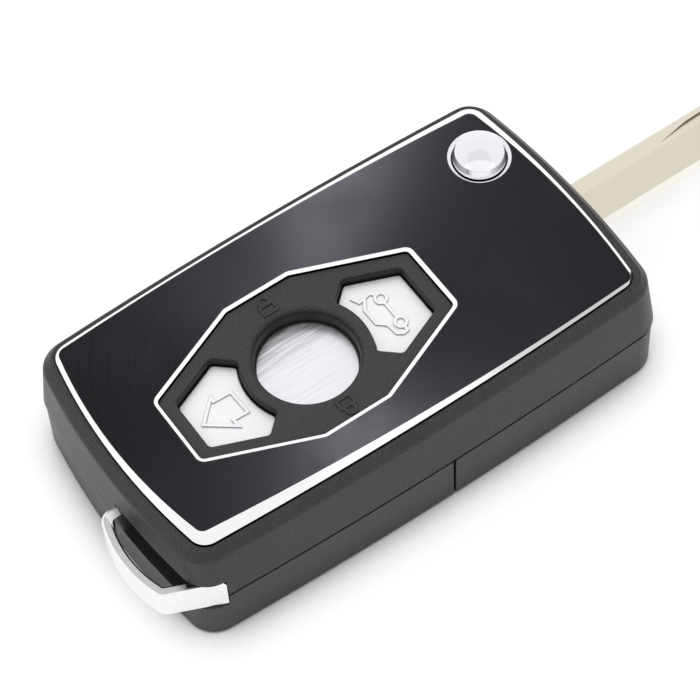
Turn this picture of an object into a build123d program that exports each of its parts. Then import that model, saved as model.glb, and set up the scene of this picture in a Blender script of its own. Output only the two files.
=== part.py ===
"""Flip key remote shell: folding car key with a remote control inside.

The key lies on its back with the blade swung out. +X runs to the blade end, +Y to the side
into which the blade folds, +Z up through the buttons. The origin is the middle of the case's
flat back.
"""
from build123d import *
import os
from math import asin, degrees, hypot

os.makedirs("parts", exist_ok=True)

# Case outline at the seam, measured from the origin; every side is bowed outwards
case_key_x = 37.0          # reach of the key-ring end
case_blade_x = 36.65       # reach of the blade end
case_half_y = 20.5         # half width across the middle
key_bow = 1.8
blade_bow = 1.4
side_bow = 0.9
blade_skew = 0.6           # near corner of the blade end stands out, far corner stands in
case_corner = 4.0
wall = 1.6

# Heights above the back
seam_z = 9.2
rim_edge_z = 17.1          # lower edge of the rim's bevel
rim_top_z = 18.4
plate_top_z = 19.0
floor_thick = 1.5
deck_thick = 1.6
plate_thick = 1.0
cut_depth = 0.32           # depth of the bright cut edge on the face plate
seam_line = 0.7            # height of the shadow line under the upper moulding
seam_depth = 1.0

# How far each level stands in from the seam outline: key end, blade end, sides
rim_edge_in = (0.5, 0.8, 0.9)
rim_top_in = (1.7, 1.8, 1.7)
rim_edge_round = 1.2
rim_top_round = 0.25
plate_in = (2.2, 2.73, 2.4)
plate_bow = 1.25           # blade end of the face plate
plate_skew = 0.3
lower_top_in = 0.12
lower_back_in = 0.1
back_round = 0.6
plate_corner = 2.3
# Width of the plate's bright edge: middle of the near side, blade end, far side, key end
cut_middle = (0.72, 0.57, 0.52, 0.66)
# and at the corners, across the end and across the side: near left, near right, far right, far left
cut_corners = ((1.05, 1.75), (0.42, 0.28), (0.9, 0.95), (0.5, 0.5))
cut_round = 1.2

# Clearances
gap = 0.15                 # round trim and between mouldings
running_gap = 0.05         # round a shaft
split_gap = 0.4            # between the two lower mouldings

# Button surround, about its own centre
surround_x = -7.2
surround_y = -1.8
surround_tip = (19.65, 5.4)
surround_lean = 0.1         # the tips stand towards the blade end
surround_flank = (4.85, 11.5)
surround_round = 1.3
surround_cut = 0.5
surround_shift = 0.1        # opening from the middle of its bright edge, away from the near side
surround_top_z = 18.35
surround_flange = 0.5
surround_flange_thick = 0.8
emblem_hole_radius = 6.75
emblem_hole_round = 0.95
button_hole_round = 0.3

# Buttons, about the centre of the surround
button_inner = (7.65, 4.42)
button_shoulder = (10.12, 6.62)
button_tip = (17.0, 3.75)
button_corner = 0.6
button_top_z = 16.9
button_flange = 0.6
button_flange_thick = 0.55
button_travel = 0.35
button_edge = 0.2
sign_line = 0.38           # width of the raised lines of a sign
sign_height = 0.18
padlock_y = 9.1            # padlock signs, from the centre of the surround
lock_top_z = 15.3
emblem_thick = 0.25
emblem_radius = 6.45
glue_height = 0.2

# Blade and its turning head
pivot_from_end = 8.55
pivot_from_side = 10.8
blade_width = 7.25
blade_thick = 2.6
blade_below_seam = 1.6
blade_offset = 7.8         # blade's centre line from the pivot
blade_reach = 53.0         # pivot to tip
blade_step = 0.35
track_floor = 0.9          # width of the milled track at its floor
track_depth = 0.75
track_flare = 0.3          # by how much each wall of the track leans out
track_drift = 1.1          # how far the track wanders towards the edge
tang_width = 3.9
tang_length = 8.0
drum_radius = 5.65
drum_bottom_z = 3.2
drum_top_z = 13.6
journal_radius = 4.9
head_reach = 6.4           # head's end from the pivot, along the blade
head_back = 3.7
head_cheek = 1.8
spring_bore_radius = 4.65
collar_wall = 1.25
collar_height = 2.6
spigot_height = 3.4

# Release button
release_radius = 3.6
release_cap_radius = 3.22
release_cap_z = 20.25      # edge of the domed cap
release_dome = 0.9
release_line = 0.16        # upright line below the cap
release_ledge = 0.04
release_bevel = 0.65       # height of the sloping shoulder
release_top_thick = 1.2
release_flange_radius = 4.5
release_flange_z = 9.4
release_flange_thick = 1.1
release_cut = 0.45
release_hole_radius = 3.75
spring_wire = 0.8
spring_turns = 5.0
release_wall = 0.9
tongue_height = 1.0
slot_wall = 1.1            # wall between the blade's slot and the board's room
rib_thick = 0.9
rib_pitch = 6.0
blade_split = 1.2          # line between the two lands, from the blade's centre line
track_from_tip = 29.6      # where the track begins
tip_length = 3.2
tip_half = 1.1
pin_radius = 0.75

# Electronics
board_top_z = 11.4
board_thick = 1.0
board_corner = 1.5
cell_radius = 10.0
cell_height = 3.2
cell_x = -13.5
cell_y = -2.6
cell_top_gap = 0.5         # room for the contact between cell and board
strip_thick = 0.2
switch_size = 4.5
switch_body = 1.3
switch_plunger = 0.6
switch_plunger_radius = 1.1
pad_rim = 1.0
pad_nub = 0.5
switch_spacing = 12.5
capsule_radius = 1.1
capsule_length = 12.0
capsule_from_pivot = 7.2
capsule_from_side = 11.0
chip_x = 5.5
chip_y = 0.0
chip_length = 6.0
chip_width = 4.4
chip_height = 1.4
chip_legs = 7
chip_leg_pitch = 0.8
crystal_length = 5.0
crystal_width = 2.4
crystal_height = 1.6
coil_x = 8.9
coil_from_side = 12.0       # its middle from the case's side
coil_length = 9.0
coil_height = 3.0
coil_cheek = 0.9
clip_width = 5.0
pip_radius = 1.2
post_in = 1.6
post_radius = 1.3
stake_radius = 0.65
stake_proud = 0.4

# Key loop
loop_top_z = 12.0
loop_height = 5.2
loop_band = 1.3
loop_tab_thick = 1.6
loop_proud = 3.55          # reach past the key-ring end
loop_span = 17.3           # from the leg in the end wall to the leg's end in the side wall
loop_side_in = 0.8         # leg's end from the case's widest line
loop_bends = (1.9, 1.5)    # radii of the far and the near bend
loop_leg_in = 5.3          # leg's end and the inner bar from the key-ring end
loop_bar_in = 6.0
eye_wall_in = 3.8          # wall of the case behind the eye
eye_wall_thick = 0.9
loop_edge = 0.25
facet_start = 0.45         # sloping facets on the inner side of both legs
facet_drop = 0.8
facet_length = 2.4

# Split between the two lower mouldings, and their screws
split_x = 2.1
screw_radius = 0.8
screw_head_radius = 1.5
screw_head_thick = 0.9
screw_length = 5.0
recess_length = 2.0
recess_width = 0.45
recess_depth = 0.5
ear_thick = 1.5
boss_radius = 1.8
loop_tab_z = 8.6

# Levels and lines that follow from the sizes above
deck_top_z = plate_top_z - plate_thick
deck_under_z = deck_top_z - deck_thick
cut_z = plate_top_z - cut_depth
surround_under_z = deck_under_z - surround_flange_thick
button_flange_top_z = surround_under_z - running_gap
button_flange_z = button_flange_top_z - button_flange_thick
pivot_x = case_blade_x - pivot_from_end
pivot_y = case_half_y - pivot_from_side
blade_top_z = seam_z - blade_below_seam
blade_bottom_z = blade_top_z - blade_thick
blade_y = pivot_y - blade_offset
blade_tip_x = pivot_x + (blade_reach**2 - blade_offset**2) ** 0.5
folded_inner_y = pivot_y + blade_offset - blade_width / 2
slot_floor_z = blade_bottom_z - 2 * gap
slot_wall_y = folded_inner_y - 2 * gap
head_bottom_z = blade_bottom_z - head_cheek
head_top_z = blade_top_z + head_cheek
head_end_x = pivot_x + head_reach
head_sweep = hypot(head_reach, blade_offset + blade_width / 2 + running_gap)
loop_reach = case_key_x + loop_proud
loop_end_y = loop_side_in - case_half_y
loop_leg_y = loop_end_y + loop_span
loop_leg_x = loop_leg_in - case_key_x
loop_inner_x = loop_bar_in - case_key_x
eye_wall_x = eye_wall_in - case_key_x
eye_wall_y = (loop_leg_y - 11.7, loop_leg_y - 1.9)
loop_screw = (loop_inner_x + 2.05, loop_leg_y - 0.5)
near_screw = (split_x - 3.4, 4.1 - case_half_y)
far_screw = (split_x - 3.4, slot_wall_y - 1.9)
board_x = (loop_screw[0] + 1.95, pivot_x - 14.1)
board_y = (6.3 - case_half_y, slot_wall_y - 1.8)
coil_y = coil_from_side - case_half_y
board_under_z = board_top_z - board_thick
cell_top_z = board_under_z - cell_top_gap
cell_bottom_z = cell_top_z - cell_height
loop_bottom_z = loop_top_z - loop_height
spring_outer = spring_bore_radius - 0.9
spring_radius = spring_outer - spring_wire / 2
slot_end_x = 2 * pivot_x - blade_tip_x - 4 * gap
tang_y = blade_y - 0.45
pin_x = head_end_x - tang_length / 2
capsule_x = pivot_x - capsule_from_pivot
capsule_y = capsule_from_side - case_half_y
capsule_z = floor_thick + capsule_radius + gap
far_beyond = 30.0          # a cutting block's size, well past the case


def bowed_outline(reach, corner, bow, skew, middle_in=(0, 0, 0, 0), corner_in=((0, 0),) * 4):
    """Outline with four outward-bowed sides, rounded corners and a skewed blade end.

    Middles and corners can stand in by their own amounts; they are taken in the order of
    the near side, blade end, far side and key end, and of the corners that begin them.
    """
    key_x, blade_x, half_y = reach
    left = key_bow - key_x
    right = blade_x - bow
    side = half_y - side_bow
    middle = (left + right) / 2
    near_left = (left + corner_in[0][0], corner_in[0][1] - side)
    near_right = (right + skew - corner_in[1][0], corner_in[1][1] - side - skew / 2)
    far_right = (right - skew - corner_in[2][0], side - corner_in[2][1])
    far_left = (left + corner_in[3][0], side - corner_in[3][1])
    with BuildSketch() as outline:
        with BuildLine():
            ThreePointArc(near_left, (middle, middle_in[0] - half_y - skew / 4), near_right)
            ThreePointArc(near_right, (blade_x - middle_in[1], 0), far_right)
            ThreePointArc(far_right, (middle, half_y - middle_in[2]), far_left)
            ThreePointArc(far_left, (middle_in[3] - key_x, 0), near_left)
        make_face()
        fillet(outline.vertices(), corner)
    return outline.sketch


def case_outline(inset_by, more=0.0, corner=None):
    """The case's outline, set in by its own amount at the key end, blade end and sides."""
    if not isinstance(inset_by, tuple):
        inset_by = (inset_by, inset_by, inset_by)
    key_in, blade_in, side_in = (amount + more for amount in inset_by)
    reach = (case_key_x - key_in, case_blade_x - blade_in, case_half_y - side_in)
    radius = case_corner - min(more, case_corner / 2) if corner is None else corner
    return bowed_outline(reach, radius, blade_bow, blade_skew)


def plate_outline(grow):
    """Outline of the face plate, grown for the seat it lies in."""
    key_in, blade_in, side_in = plate_in
    reach = (case_key_x - key_in + grow, case_blade_x - blade_in + grow, case_half_y - side_in + grow)
    return bowed_outline(reach, plate_corner + grow, plate_bow, plate_skew)


def twisted_plate_top():
    """Inner line of the plate's bright edge, which is widest at the near left corner."""
    key_in, blade_in, side_in = plate_in
    reach = (case_key_x - key_in, case_blade_x - blade_in, case_half_y - side_in)
    return bowed_outline(reach, cut_round, plate_bow, plate_skew, cut_middle, cut_corners)


def surround_outline(grow, shift=surround_shift):
    """Eight-sided outline of the button surround, grown or shrunk."""
    tip_x, tip_y = surround_tip
    flank_x, flank_y = surround_flank
    with BuildSketch() as outline:
        with Locations((surround_x, surround_y + shift)):
            Polygon(
                (surround_lean + tip_x, tip_y), (flank_x, flank_y), (-flank_x, flank_y),
                (surround_lean - tip_x, tip_y), (surround_lean - tip_x, -tip_y),
                (-flank_x, -flank_y), (flank_x, -flank_y), (surround_lean + tip_x, -tip_y),
                align=None,
            )
        fillet(outline.vertices(), surround_round)
        if grow:
            offset(amount=grow, kind=Kind.INTERSECTION)
    return outline.sketch


def button_outline(turn, grow):
    """Six-sided button with one side hollowed concentric with the emblem."""
    inner_x, inner_y = button_inner
    with BuildSketch() as outline:
        with BuildLine():
            Polyline(
                (inner_x, inner_y), button_shoulder, button_tip,
                (button_tip[0], -button_tip[1]), (button_shoulder[0], -button_shoulder[1]),
                (inner_x, -inner_y),
            )
            ThreePointArc((inner_x, -inner_y), (hypot(inner_x, inner_y), 0), (inner_x, inner_y))
        make_face()
        fillet(outline.vertices(), button_corner)
        if grow:
            offset(amount=grow)
    return Location((surround_x, surround_y, 0), (0, 0, turn)) * outline.sketch


def arrow_sign():
    """Outline of an arrow that points to the key-ring end."""
    with BuildSketch() as sign:
        with BuildLine():
            Polyline(
                (-15.7, -0.15), (-12.75, 2.65), (-12.85, 1.95), (-10.35, 1.85),
                (-10.15, -1.8), (-12.3, -1.7), (-12.2, -2.85), close=True,
            )
        trace(line_width=sign_line)
        with Locations((-15.7, -0.15), (-12.75, 2.65), (-12.2, -2.85)):
            Circle(sign_line / 2)
    return Location((surround_x, surround_y, 0)) * sign.sketch


def boot_sign():
    """Side view of a car with its boot open, wheels towards the blade end."""
    wheel_x, wheel_y, wheel_radius = 12.9, 2.2, 0.75
    with BuildSketch() as sign:
        with BuildLine():
            Polyline(
                (12.7, wheel_y + wheel_radius), (12.1, 3.6), (11.2, 3.4), (10.2, 1.9), (10.2, -0.6),
                (11.3, -1.6), (11.5, -3.3), (12.2, -3.8), (12.9, -3.7), (12.9, -wheel_y - wheel_radius),
            )
        trace(line_width=sign_line)
        with BuildLine():
            Polyline((11.2, 3.4), (10.3, 3.2), (9.7, 4.4))
        trace(line_width=sign_line)
        with BuildLine():
            Line((wheel_x, wheel_radius - wheel_y), (wheel_x, wheel_y - wheel_radius))
        trace(line_width=sign_line)
        with Locations((wheel_x, wheel_y), (wheel_x, -wheel_y)):
            Circle(wheel_radius + sign_line / 2)
        with Locations((wheel_x, wheel_y), (wheel_x, -wheel_y)):
            Circle(wheel_radius - sign_line / 2, mode=Mode.SUBTRACT)
    return Location((surround_x, surround_y, 0)) * sign.sketch


def padlock_sign(turn):
    """Outline of a closed padlock, its shackle away from the centre button."""
    with BuildSketch() as sign:
        with Locations((0, padlock_y - 0.6)):
            RectangleRounded(2.4, 1.7, 0.3)
            RectangleRounded(2.4 - 2 * sign_line, 1.7 - 2 * sign_line, 0.1, mode=Mode.SUBTRACT)
        with BuildLine():
            Line((-0.65, padlock_y + 0.2), (-0.65, padlock_y + 0.6))
            ThreePointArc((-0.65, padlock_y + 0.6), (0, padlock_y + 1.25), (0.65, padlock_y + 0.6))
            Line((0.65, padlock_y + 0.6), (0.65, padlock_y + 0.2))
        trace(line_width=sign_line)
    return Location((surround_x, surround_y, 0), (0, 0, turn)) * sign.sketch


def loop_outline(grow):
    """Outer outline of the key loop, closed by its bar inside the case."""
    far_bend = (1.45 - loop_reach, loop_leg_y)
    near_bend = (1.35 - loop_reach, loop_leg_y - 14.0)
    with BuildSketch() as outline:
        with BuildLine():
            Line((loop_inner_x, loop_leg_y), far_bend)
            ThreePointArc(far_bend, (-loop_reach, loop_leg_y - 7.0), near_bend)
            Polyline(
                near_bend, (loop_leg_x, loop_end_y), (loop_leg_x, loop_end_y + loop_band),
                (loop_inner_x - 2.4, loop_end_y + 2.4), (loop_inner_x, loop_end_y + 4.4),
                (loop_inner_x, loop_leg_y),
            )
        make_face()
        fillet(outline.vertices().sort_by_distance(far_bend)[0], loop_bends[0])
        fillet(outline.vertices().sort_by_distance(near_bend)[0], loop_bends[1])
        if grow:
            offset(amount=grow, kind=Kind.INTERSECTION)
    return outline.sketch


def loop_room():
    """Room for the key loop, open to the outside of the case along its near leg."""
    with BuildSketch() as outline:
        add(loop_outline(gap))
        with BuildLine():
            Polyline(
                (loop_leg_x + gap, loop_end_y + loop_band / 2), (loop_leg_x + gap, -far_beyond),
                (-loop_reach, -far_beyond), (1.35 - loop_reach, loop_leg_y - 14.0),
                (loop_leg_x + gap, loop_end_y + loop_band / 2),
            )
        make_face()
    return outline.sketch


def track_section(middle_y, side, surface, drift, sink):
    """Cross-section of the blade's track, on the upper face or turned round on the lower face."""
    centre = middle_y + side * (blade_split + drift * track_drift)
    depth = sink * track_depth
    floor_half = track_floor / 2 * min(1.0, 0.15 + sink)
    above = 0.2
    with BuildSketch() as section:
        with BuildLine():
            Polyline(
                (centre - floor_half, surface - side * depth),
                (centre + floor_half, surface - side * depth),
                (centre + floor_half + track_flare * sink, surface + side * above),
                (centre - floor_half - track_flare * sink, surface + side * above),
                close=True,
            )
        make_face()
    return section.sketch


def lower_blank(low_x, high_x):
    """Tray of one lower moulding between two stations, with its back edges rounded."""
    middle = (low_x + high_x) / 2
    length = high_x - low_x
    with BuildPart() as blank:
        with BuildSketch():
            add(case_outline(lower_back_in))
        with BuildSketch(Plane.XY.offset(seam_z)):
            add(case_outline(lower_top_in))
        loft(ruled=True)
        with Locations((middle, 0, 0)):
            Box(length, 4 * case_half_y, 4 * seam_z, mode=Mode.INTERSECT)
        fillet(blank.faces().sort_by(Axis.Z)[0].edges(), back_round)
        with BuildSketch(Plane.XY.offset(floor_thick)):
            add(case_outline(lower_top_in, wall))
            with Locations((middle, 0)):
                Rectangle(length - 2 * wall, 4 * case_half_y, mode=Mode.INTERSECT)
        extrude(amount=seam_z, mode=Mode.SUBTRACT)
        with BuildSketch(Plane.XY.offset(seam_z - tongue_height - gap)):
            add(case_outline(0.0, wall / 2))
            with Locations((middle, 0)):
                Rectangle(length, 4 * case_half_y, mode=Mode.INTERSECT)
        extrude(amount=seam_z, mode=Mode.SUBTRACT)
        with BuildSketch(Plane.XY.offset(seam_z - seam_line)):
            add(case_outline(-wall))
            add(case_outline(0.0, seam_depth), mode=Mode.SUBTRACT)
        extrude(amount=seam_z, mode=Mode.SUBTRACT)
    return blank.part


def ear_outline(grow):
    """Two screw ears that reach from the rear shell under the battery cover."""
    with BuildSketch() as outline:
        for ear_x, ear_y in (near_screw, far_screw):
            with Locations((ear_x, ear_y)):
                Circle(boss_radius + grow)
            with Locations(((ear_x + split_x + wall) / 2, ear_y)):
                Rectangle(split_x + wall - ear_x, 2 * (boss_radius + grow))
    return outline.sketch


board_posts = [
    (x, y)
    for x in (board_x[0] + post_in, board_x[1] - post_in)
    for y in (board_y[0] + post_in, board_y[1] - post_in)
]

from_corner = (Align.MIN, Align.MIN, Align.MIN)

# Upper moulding of the case
with BuildPart() as front_shell:
    with BuildSketch(Plane.XY.offset(seam_z)):
        add(case_outline(0.0))
    with BuildSketch(Plane.XY.offset(rim_edge_z)):
        add(case_outline(rim_edge_in))
    loft(ruled=True)
    with BuildSketch(Plane.XY.offset(rim_edge_z)):
        add(case_outline(rim_edge_in))
    with BuildSketch(Plane.XY.offset(rim_top_z)):
        add(case_outline(rim_top_in, corner=plate_corner + 0.6))
    loft(ruled=True)
    rim_edges = front_shell.edges().filter_by_position(Axis.Z, rim_edge_z - 0.01, rim_edge_z + 0.01)
    fillet(rim_edges, rim_edge_round)
    fillet(front_shell.faces().sort_by(Axis.Z)[-1].edges(), rim_top_round)
    # hollow inside
    with BuildSketch(Plane.XY.offset(seam_z)):
        add(case_outline(0.0, wall))
    with BuildSketch(Plane.XY.offset(deck_under_z)):
        add(case_outline(rim_edge_in, wall))
    loft(ruled=True, mode=Mode.SUBTRACT)
    # seat of the face plate
    with BuildSketch(Plane.XY.offset(deck_top_z)):
        add(plate_outline(gap))
    extrude(amount=plate_thick, mode=Mode.SUBTRACT)
    # tongue that locates the lower mouldings, open along the blade's slot and the key loop
    with BuildSketch(Plane.XY.offset(seam_z - tongue_height)):
        add(case_outline(0.0, wall / 2 + gap))
        add(case_outline(0.0, wall), mode=Mode.SUBTRACT)
        with Locations((slot_end_x - wall, slot_wall_y - 3 * gap)):
            Rectangle(far_beyond * 3, far_beyond, align=(Align.MIN, Align.MIN), mode=Mode.SUBTRACT)
        with Locations((pivot_x, blade_y - blade_width / 2 - 2 * gap)):
            Rectangle(far_beyond, far_beyond, align=(Align.MIN, Align.MIN), mode=Mode.SUBTRACT)
        with Locations((loop_inner_x + wall, loop_leg_y + wall)):
            Rectangle(far_beyond, far_beyond, align=(Align.MAX, Align.MAX), mode=Mode.SUBTRACT)
    extrude(amount=tongue_height)
    # room for the key loop and its eye
    with BuildSketch(Plane.XY.offset(seam_z - tongue_height)):
        add(loop_room())
    extrude(amount=loop_top_z + gap - seam_z + tongue_height, mode=Mode.SUBTRACT)
    with BuildSketch(Plane.XY.offset(loop_bottom_z + gap)):
        with Locations((eye_wall_x, eye_wall_y[0])):
            Rectangle(eye_wall_thick, eye_wall_y[1] - eye_wall_y[0], align=(Align.MIN, Align.MIN))
    extrude(amount=deck_under_z - loop_bottom_z - gap)
    # room for the sweep of the turning head
    with BuildSketch(Plane.XY.offset(seam_z)):
        with Locations((pivot_x, pivot_y)):
            Circle(head_sweep + 2 * gap)
    extrude(amount=head_top_z + gap - seam_z, mode=Mode.SUBTRACT)
    # bearing collar of the turning head
    with BuildSketch(Plane.XY.offset(deck_under_z)):
        with Locations((pivot_x, pivot_y)):
            Circle(journal_radius + running_gap + collar_wall)
    extrude(amount=-collar_height)
    # bosses of the screws and posts of the board
    with BuildSketch(Plane.XY.offset(seam_z)):
        with Locations(near_screw, far_screw):
            Circle(boss_radius)
    extrude(amount=deck_under_z - seam_z)
    with BuildSketch(Plane.XY.offset(loop_tab_z + loop_tab_thick)):
        with Locations(loop_screw):
            Circle(boss_radius)
    extrude(amount=deck_under_z - loop_tab_z - loop_tab_thick)
    with BuildSketch(Plane.XY.offset(board_top_z)):
        with Locations(*board_posts):
            Circle(post_radius)
    extrude(amount=deck_under_z - board_top_z)
    with BuildSketch(Plane.XY.offset(board_under_z - stake_proud)):
        with Locations(*board_posts):
            Circle(stake_radius)
    extrude(amount=board_top_z - board_under_z + stake_proud)
    # openings for the button surround and the release button
    with BuildSketch(Plane.XY.offset(deck_under_z)):
        add(surround_outline(-surround_cut))
    extrude(amount=deck_thick, mode=Mode.SUBTRACT)
    with BuildSketch(Plane.XY.offset(deck_under_z)):
        with Locations((pivot_x, pivot_y)):
            Circle(release_hole_radius)
    extrude(amount=deck_thick, mode=Mode.SUBTRACT)
    with BuildSketch(Plane.XY.offset(deck_under_z)):
        with Locations((pivot_x, pivot_y)):
            Circle(journal_radius + running_gap)
    extrude(amount=-collar_height, mode=Mode.SUBTRACT)
    # pilot holes of the screws
    with BuildSketch(Plane.XY.offset(seam_z)):
        with Locations(near_screw, far_screw):
            Circle(screw_radius + running_gap)
    extrude(amount=screw_length, mode=Mode.SUBTRACT)
    with BuildSketch(Plane.XY.offset(loop_tab_z + loop_tab_thick)):
        with Locations(loop_screw):
            Circle(screw_radius + running_gap)
    extrude(amount=screw_length, mode=Mode.SUBTRACT)

front_shell.part.label = "front_shell"
export_step(front_shell.part, "parts/front_shell.step")

# Black metal face plate with a bright cut edge outside, round the buttons and round the release hole
with BuildPart() as face_plate:
    with BuildSketch(Plane.XY.offset(deck_top_z)):
        add(plate_outline(0.0))
    extrude(amount=plate_thick - cut_depth)
    with BuildSketch(Plane.XY.offset(cut_z)):
        add(plate_outline(0.0))
    with BuildSketch(Plane.XY.offset(plate_top_z)):
        add(twisted_plate_top())
    loft(ruled=True)
    with BuildSketch(Plane.XY.offset(deck_top_z)):
        add(surround_outline(-surround_cut))
        with Locations((pivot_x, pivot_y)):
            Circle(release_hole_radius)
    extrude(amount=plate_thick, mode=Mode.SUBTRACT)
    with BuildSketch(Plane.XY.offset(cut_z)):
        add(surround_outline(-surround_cut))
    with BuildSketch(Plane.XY.offset(plate_top_z)):
        add(surround_outline(0.0, 0.0))
    loft(ruled=True, mode=Mode.SUBTRACT)
    with BuildSketch(Plane.XY.offset(cut_z)):
        with Locations((pivot_x, pivot_y)):
            Circle(release_hole_radius)
    with BuildSketch(Plane.XY.offset(plate_top_z)):
        with Locations((pivot_x, pivot_y)):
            Circle(release_hole_radius + release_cut)
    loft(ruled=True, mode=Mode.SUBTRACT)

face_plate.part.label = "face_plate"
export_step(face_plate.part, "parts/face_plate.step")

# Moulded surround of the buttons, held from inside by its flange
with BuildPart() as button_bezel:
    with BuildSketch(Plane.XY.offset(deck_under_z)):
        add(surround_outline(-surround_cut - gap))
    extrude(amount=surround_top_z - deck_under_z)
    with BuildSketch(Plane.XY.offset(surround_under_z)):
        add(surround_outline(surround_flange - surround_cut))
    extrude(amount=surround_flange_thick)
    with BuildSketch(Plane.XY.offset(surround_under_z)):
        add(button_outline(0, gap))
        add(button_outline(180, gap))
        with Locations((surround_x, surround_y)):
            Circle(emblem_hole_radius)
    extrude(amount=surround_top_z - surround_under_z, mode=Mode.SUBTRACT)
    top_circles = button_bezel.faces().sort_by(Axis.Z)[-1].edges().filter_by(GeomType.CIRCLE)
    hole_lip = top_circles.filter_by(lambda edge: abs(edge.radius - emblem_hole_radius) < 0.01)
    fillet(hole_lip, emblem_hole_round)
    top_wires = button_bezel.faces().sort_by(Axis.Z)[-1].inner_wires().sort_by(Axis.X)
    fillet(top_wires[0].edges() + top_wires[-1].edges(), button_hole_round)
    with BuildSketch(Plane.XY.offset(surround_top_z)):
        add(padlock_sign(0))
        add(padlock_sign(180))
    extrude(amount=sign_height)

button_bezel.part.label = "button_bezel"
export_step(button_bezel.part, "parts/button_bezel.step")

# The two bright six-sided buttons, each with a flange under the surround
with BuildPart() as unlock_button:
    with BuildSketch(Plane.XY.offset(button_flange_z)):
        add(button_outline(180, 0.0))
    extrude(amount=button_top_z - button_flange_z)
    fillet(unlock_button.faces().sort_by(Axis.Z)[-1].edges(), button_edge)
    with BuildSketch(Plane.XY.offset(button_flange_z)):
        add(button_outline(180, button_flange))
    extrude(amount=button_flange_thick)
    with BuildSketch(Plane.XY.offset(button_top_z)):
        add(arrow_sign())
    extrude(amount=sign_height)

unlock_button.part.label = "unlock_button"
export_step(unlock_button.part, "parts/unlock_button.step")

with BuildPart() as boot_button:
    with BuildSketch(Plane.XY.offset(button_flange_z)):
        add(button_outline(0, 0.0))
    extrude(amount=button_top_z - button_flange_z)
    fillet(boot_button.faces().sort_by(Axis.Z)[-1].edges(), button_edge)
    with BuildSketch(Plane.XY.offset(button_flange_z)):
        add(button_outline(0, button_flange))
    extrude(amount=button_flange_thick)
    with BuildSketch(Plane.XY.offset(button_top_z)):
        add(boot_sign())
    extrude(amount=sign_height)

boot_button.part.label = "boot_button"
export_step(boot_button.part, "parts/boot_button.step")

# Round centre button, with its brushed disc and the bead of glue round it
with BuildPart() as lock_button:
    with BuildSketch(Plane.XY.offset(button_flange_z)):
        with Locations((surround_x, surround_y)):
            Circle(emblem_hole_radius - gap)
    extrude(amount=lock_top_z - button_flange_z)
    with BuildSketch(Plane.XY.offset(button_flange_z)):
        with Locations((surround_x, surround_y)):
            Circle(emblem_hole_radius + button_flange)
    extrude(amount=button_flange_thick)
    with BuildSketch(Plane.XY.offset(lock_top_z)):
        with Locations((surround_x, surround_y)):
            Circle(emblem_hole_radius - gap)
    extrude(amount=button_flange_thick, mode=Mode.SUBTRACT)

lock_button.part.label = "lock_button"
export_step(lock_button.part, "parts/lock_button.step")

with BuildPart() as emblem_disc:
    with BuildSketch(Plane.XY.offset(lock_top_z)):
        with Locations((surround_x, surround_y)):
            Circle(emblem_radius)
    extrude(amount=emblem_thick)

emblem_disc.part.label = "emblem_disc"
export_step(emblem_disc.part, "parts/emblem_disc.step")

with BuildPart() as disc_glue:
    with BuildSketch(Plane.XY.offset(lock_top_z)):
        with Locations((surround_x, surround_y)):
            Circle(emblem_hole_radius - gap)
            Circle(emblem_radius, mode=Mode.SUBTRACT)
    extrude(amount=glue_height)

disc_glue.part.label = "disc_glue"
export_step(disc_glue.part, "parts/disc_glue.step")

# Rubber pad between buttons and switches, standing on the board by its skirt
switch_places = [(surround_x + step * switch_spacing, surround_y) for step in (-1, 0, 1)]
switch_top_z = board_top_z + switch_body + switch_plunger
pad_z = switch_top_z + running_gap + pad_nub
pad_thick = button_flange_z - button_travel - running_gap - pad_z
with BuildPart() as button_pad:
    with BuildSketch(Plane.XY.offset(board_top_z)):
        add(surround_outline(surround_flange - surround_cut))
        add(surround_outline(surround_flange - surround_cut - pad_rim), mode=Mode.SUBTRACT)
    extrude(amount=surround_under_z - board_top_z)
    with BuildSketch(Plane.XY.offset(pad_z)):
        add(surround_outline(surround_flange - surround_cut))
    extrude(amount=pad_thick)
    with BuildSketch(Plane.XY.offset(pad_z)):
        with Locations(*switch_places):
            Circle(switch_plunger_radius + 2 * gap)
    extrude(amount=-pad_nub)

button_pad.part.label = "button_pad"
export_step(button_pad.part, "parts/button_pad.step")

# Circuit board with holes for the stakes and a notch for the far screw boss
with BuildPart() as circuit_board:
    with BuildSketch(Plane.XY.offset(board_under_z)):
        with Locations(((board_x[0] + board_x[1]) / 2, (board_y[0] + board_y[1]) / 2)):
            RectangleRounded(board_x[1] - board_x[0], board_y[1] - board_y[0], board_corner)
        with Locations(*board_posts):
            Circle(stake_radius + running_gap, mode=Mode.SUBTRACT)
        with Locations(far_screw):
            Circle(boss_radius + 2 * gap, mode=Mode.SUBTRACT)
    extrude(amount=board_thick)

circuit_board.part.label = "circuit_board"
export_step(circuit_board.part, "parts/circuit_board.step")

with BuildPart() as tact_switches:
    with BuildSketch(Plane.XY.offset(board_top_z)):
        with Locations(*switch_places):
            RectangleRounded(switch_size, switch_size, 0.5)
    extrude(amount=switch_body)
    with BuildSketch(Plane.XY.offset(board_top_z + switch_body)):
        with Locations(*switch_places):
            Circle(switch_plunger_radius)
    extrude(amount=switch_plunger)

tact_switches.part.label = "tact_switches"
export_step(tact_switches.part, "parts/tact_switches.step")

# Chip under the board, with its two rows of legs
with BuildPart() as control_chip:
    with BuildSketch(Plane.XY.offset(board_under_z - chip_height)):
        with Locations((chip_x, chip_y)):
            Rectangle(chip_length, chip_width)
    extrude(amount=chip_height - gap)
    with BuildSketch(Plane.XY.offset(board_under_z - chip_height / 2)):
        with Locations((chip_x, chip_y)):
            with GridLocations(chip_leg_pitch, 0, chip_legs, 1):
                Rectangle(chip_leg_pitch / 2, chip_width + 1.6)
    extrude(amount=chip_height / 2)

control_chip.part.label = "control_chip"
export_step(control_chip.part, "parts/control_chip.step")

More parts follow.
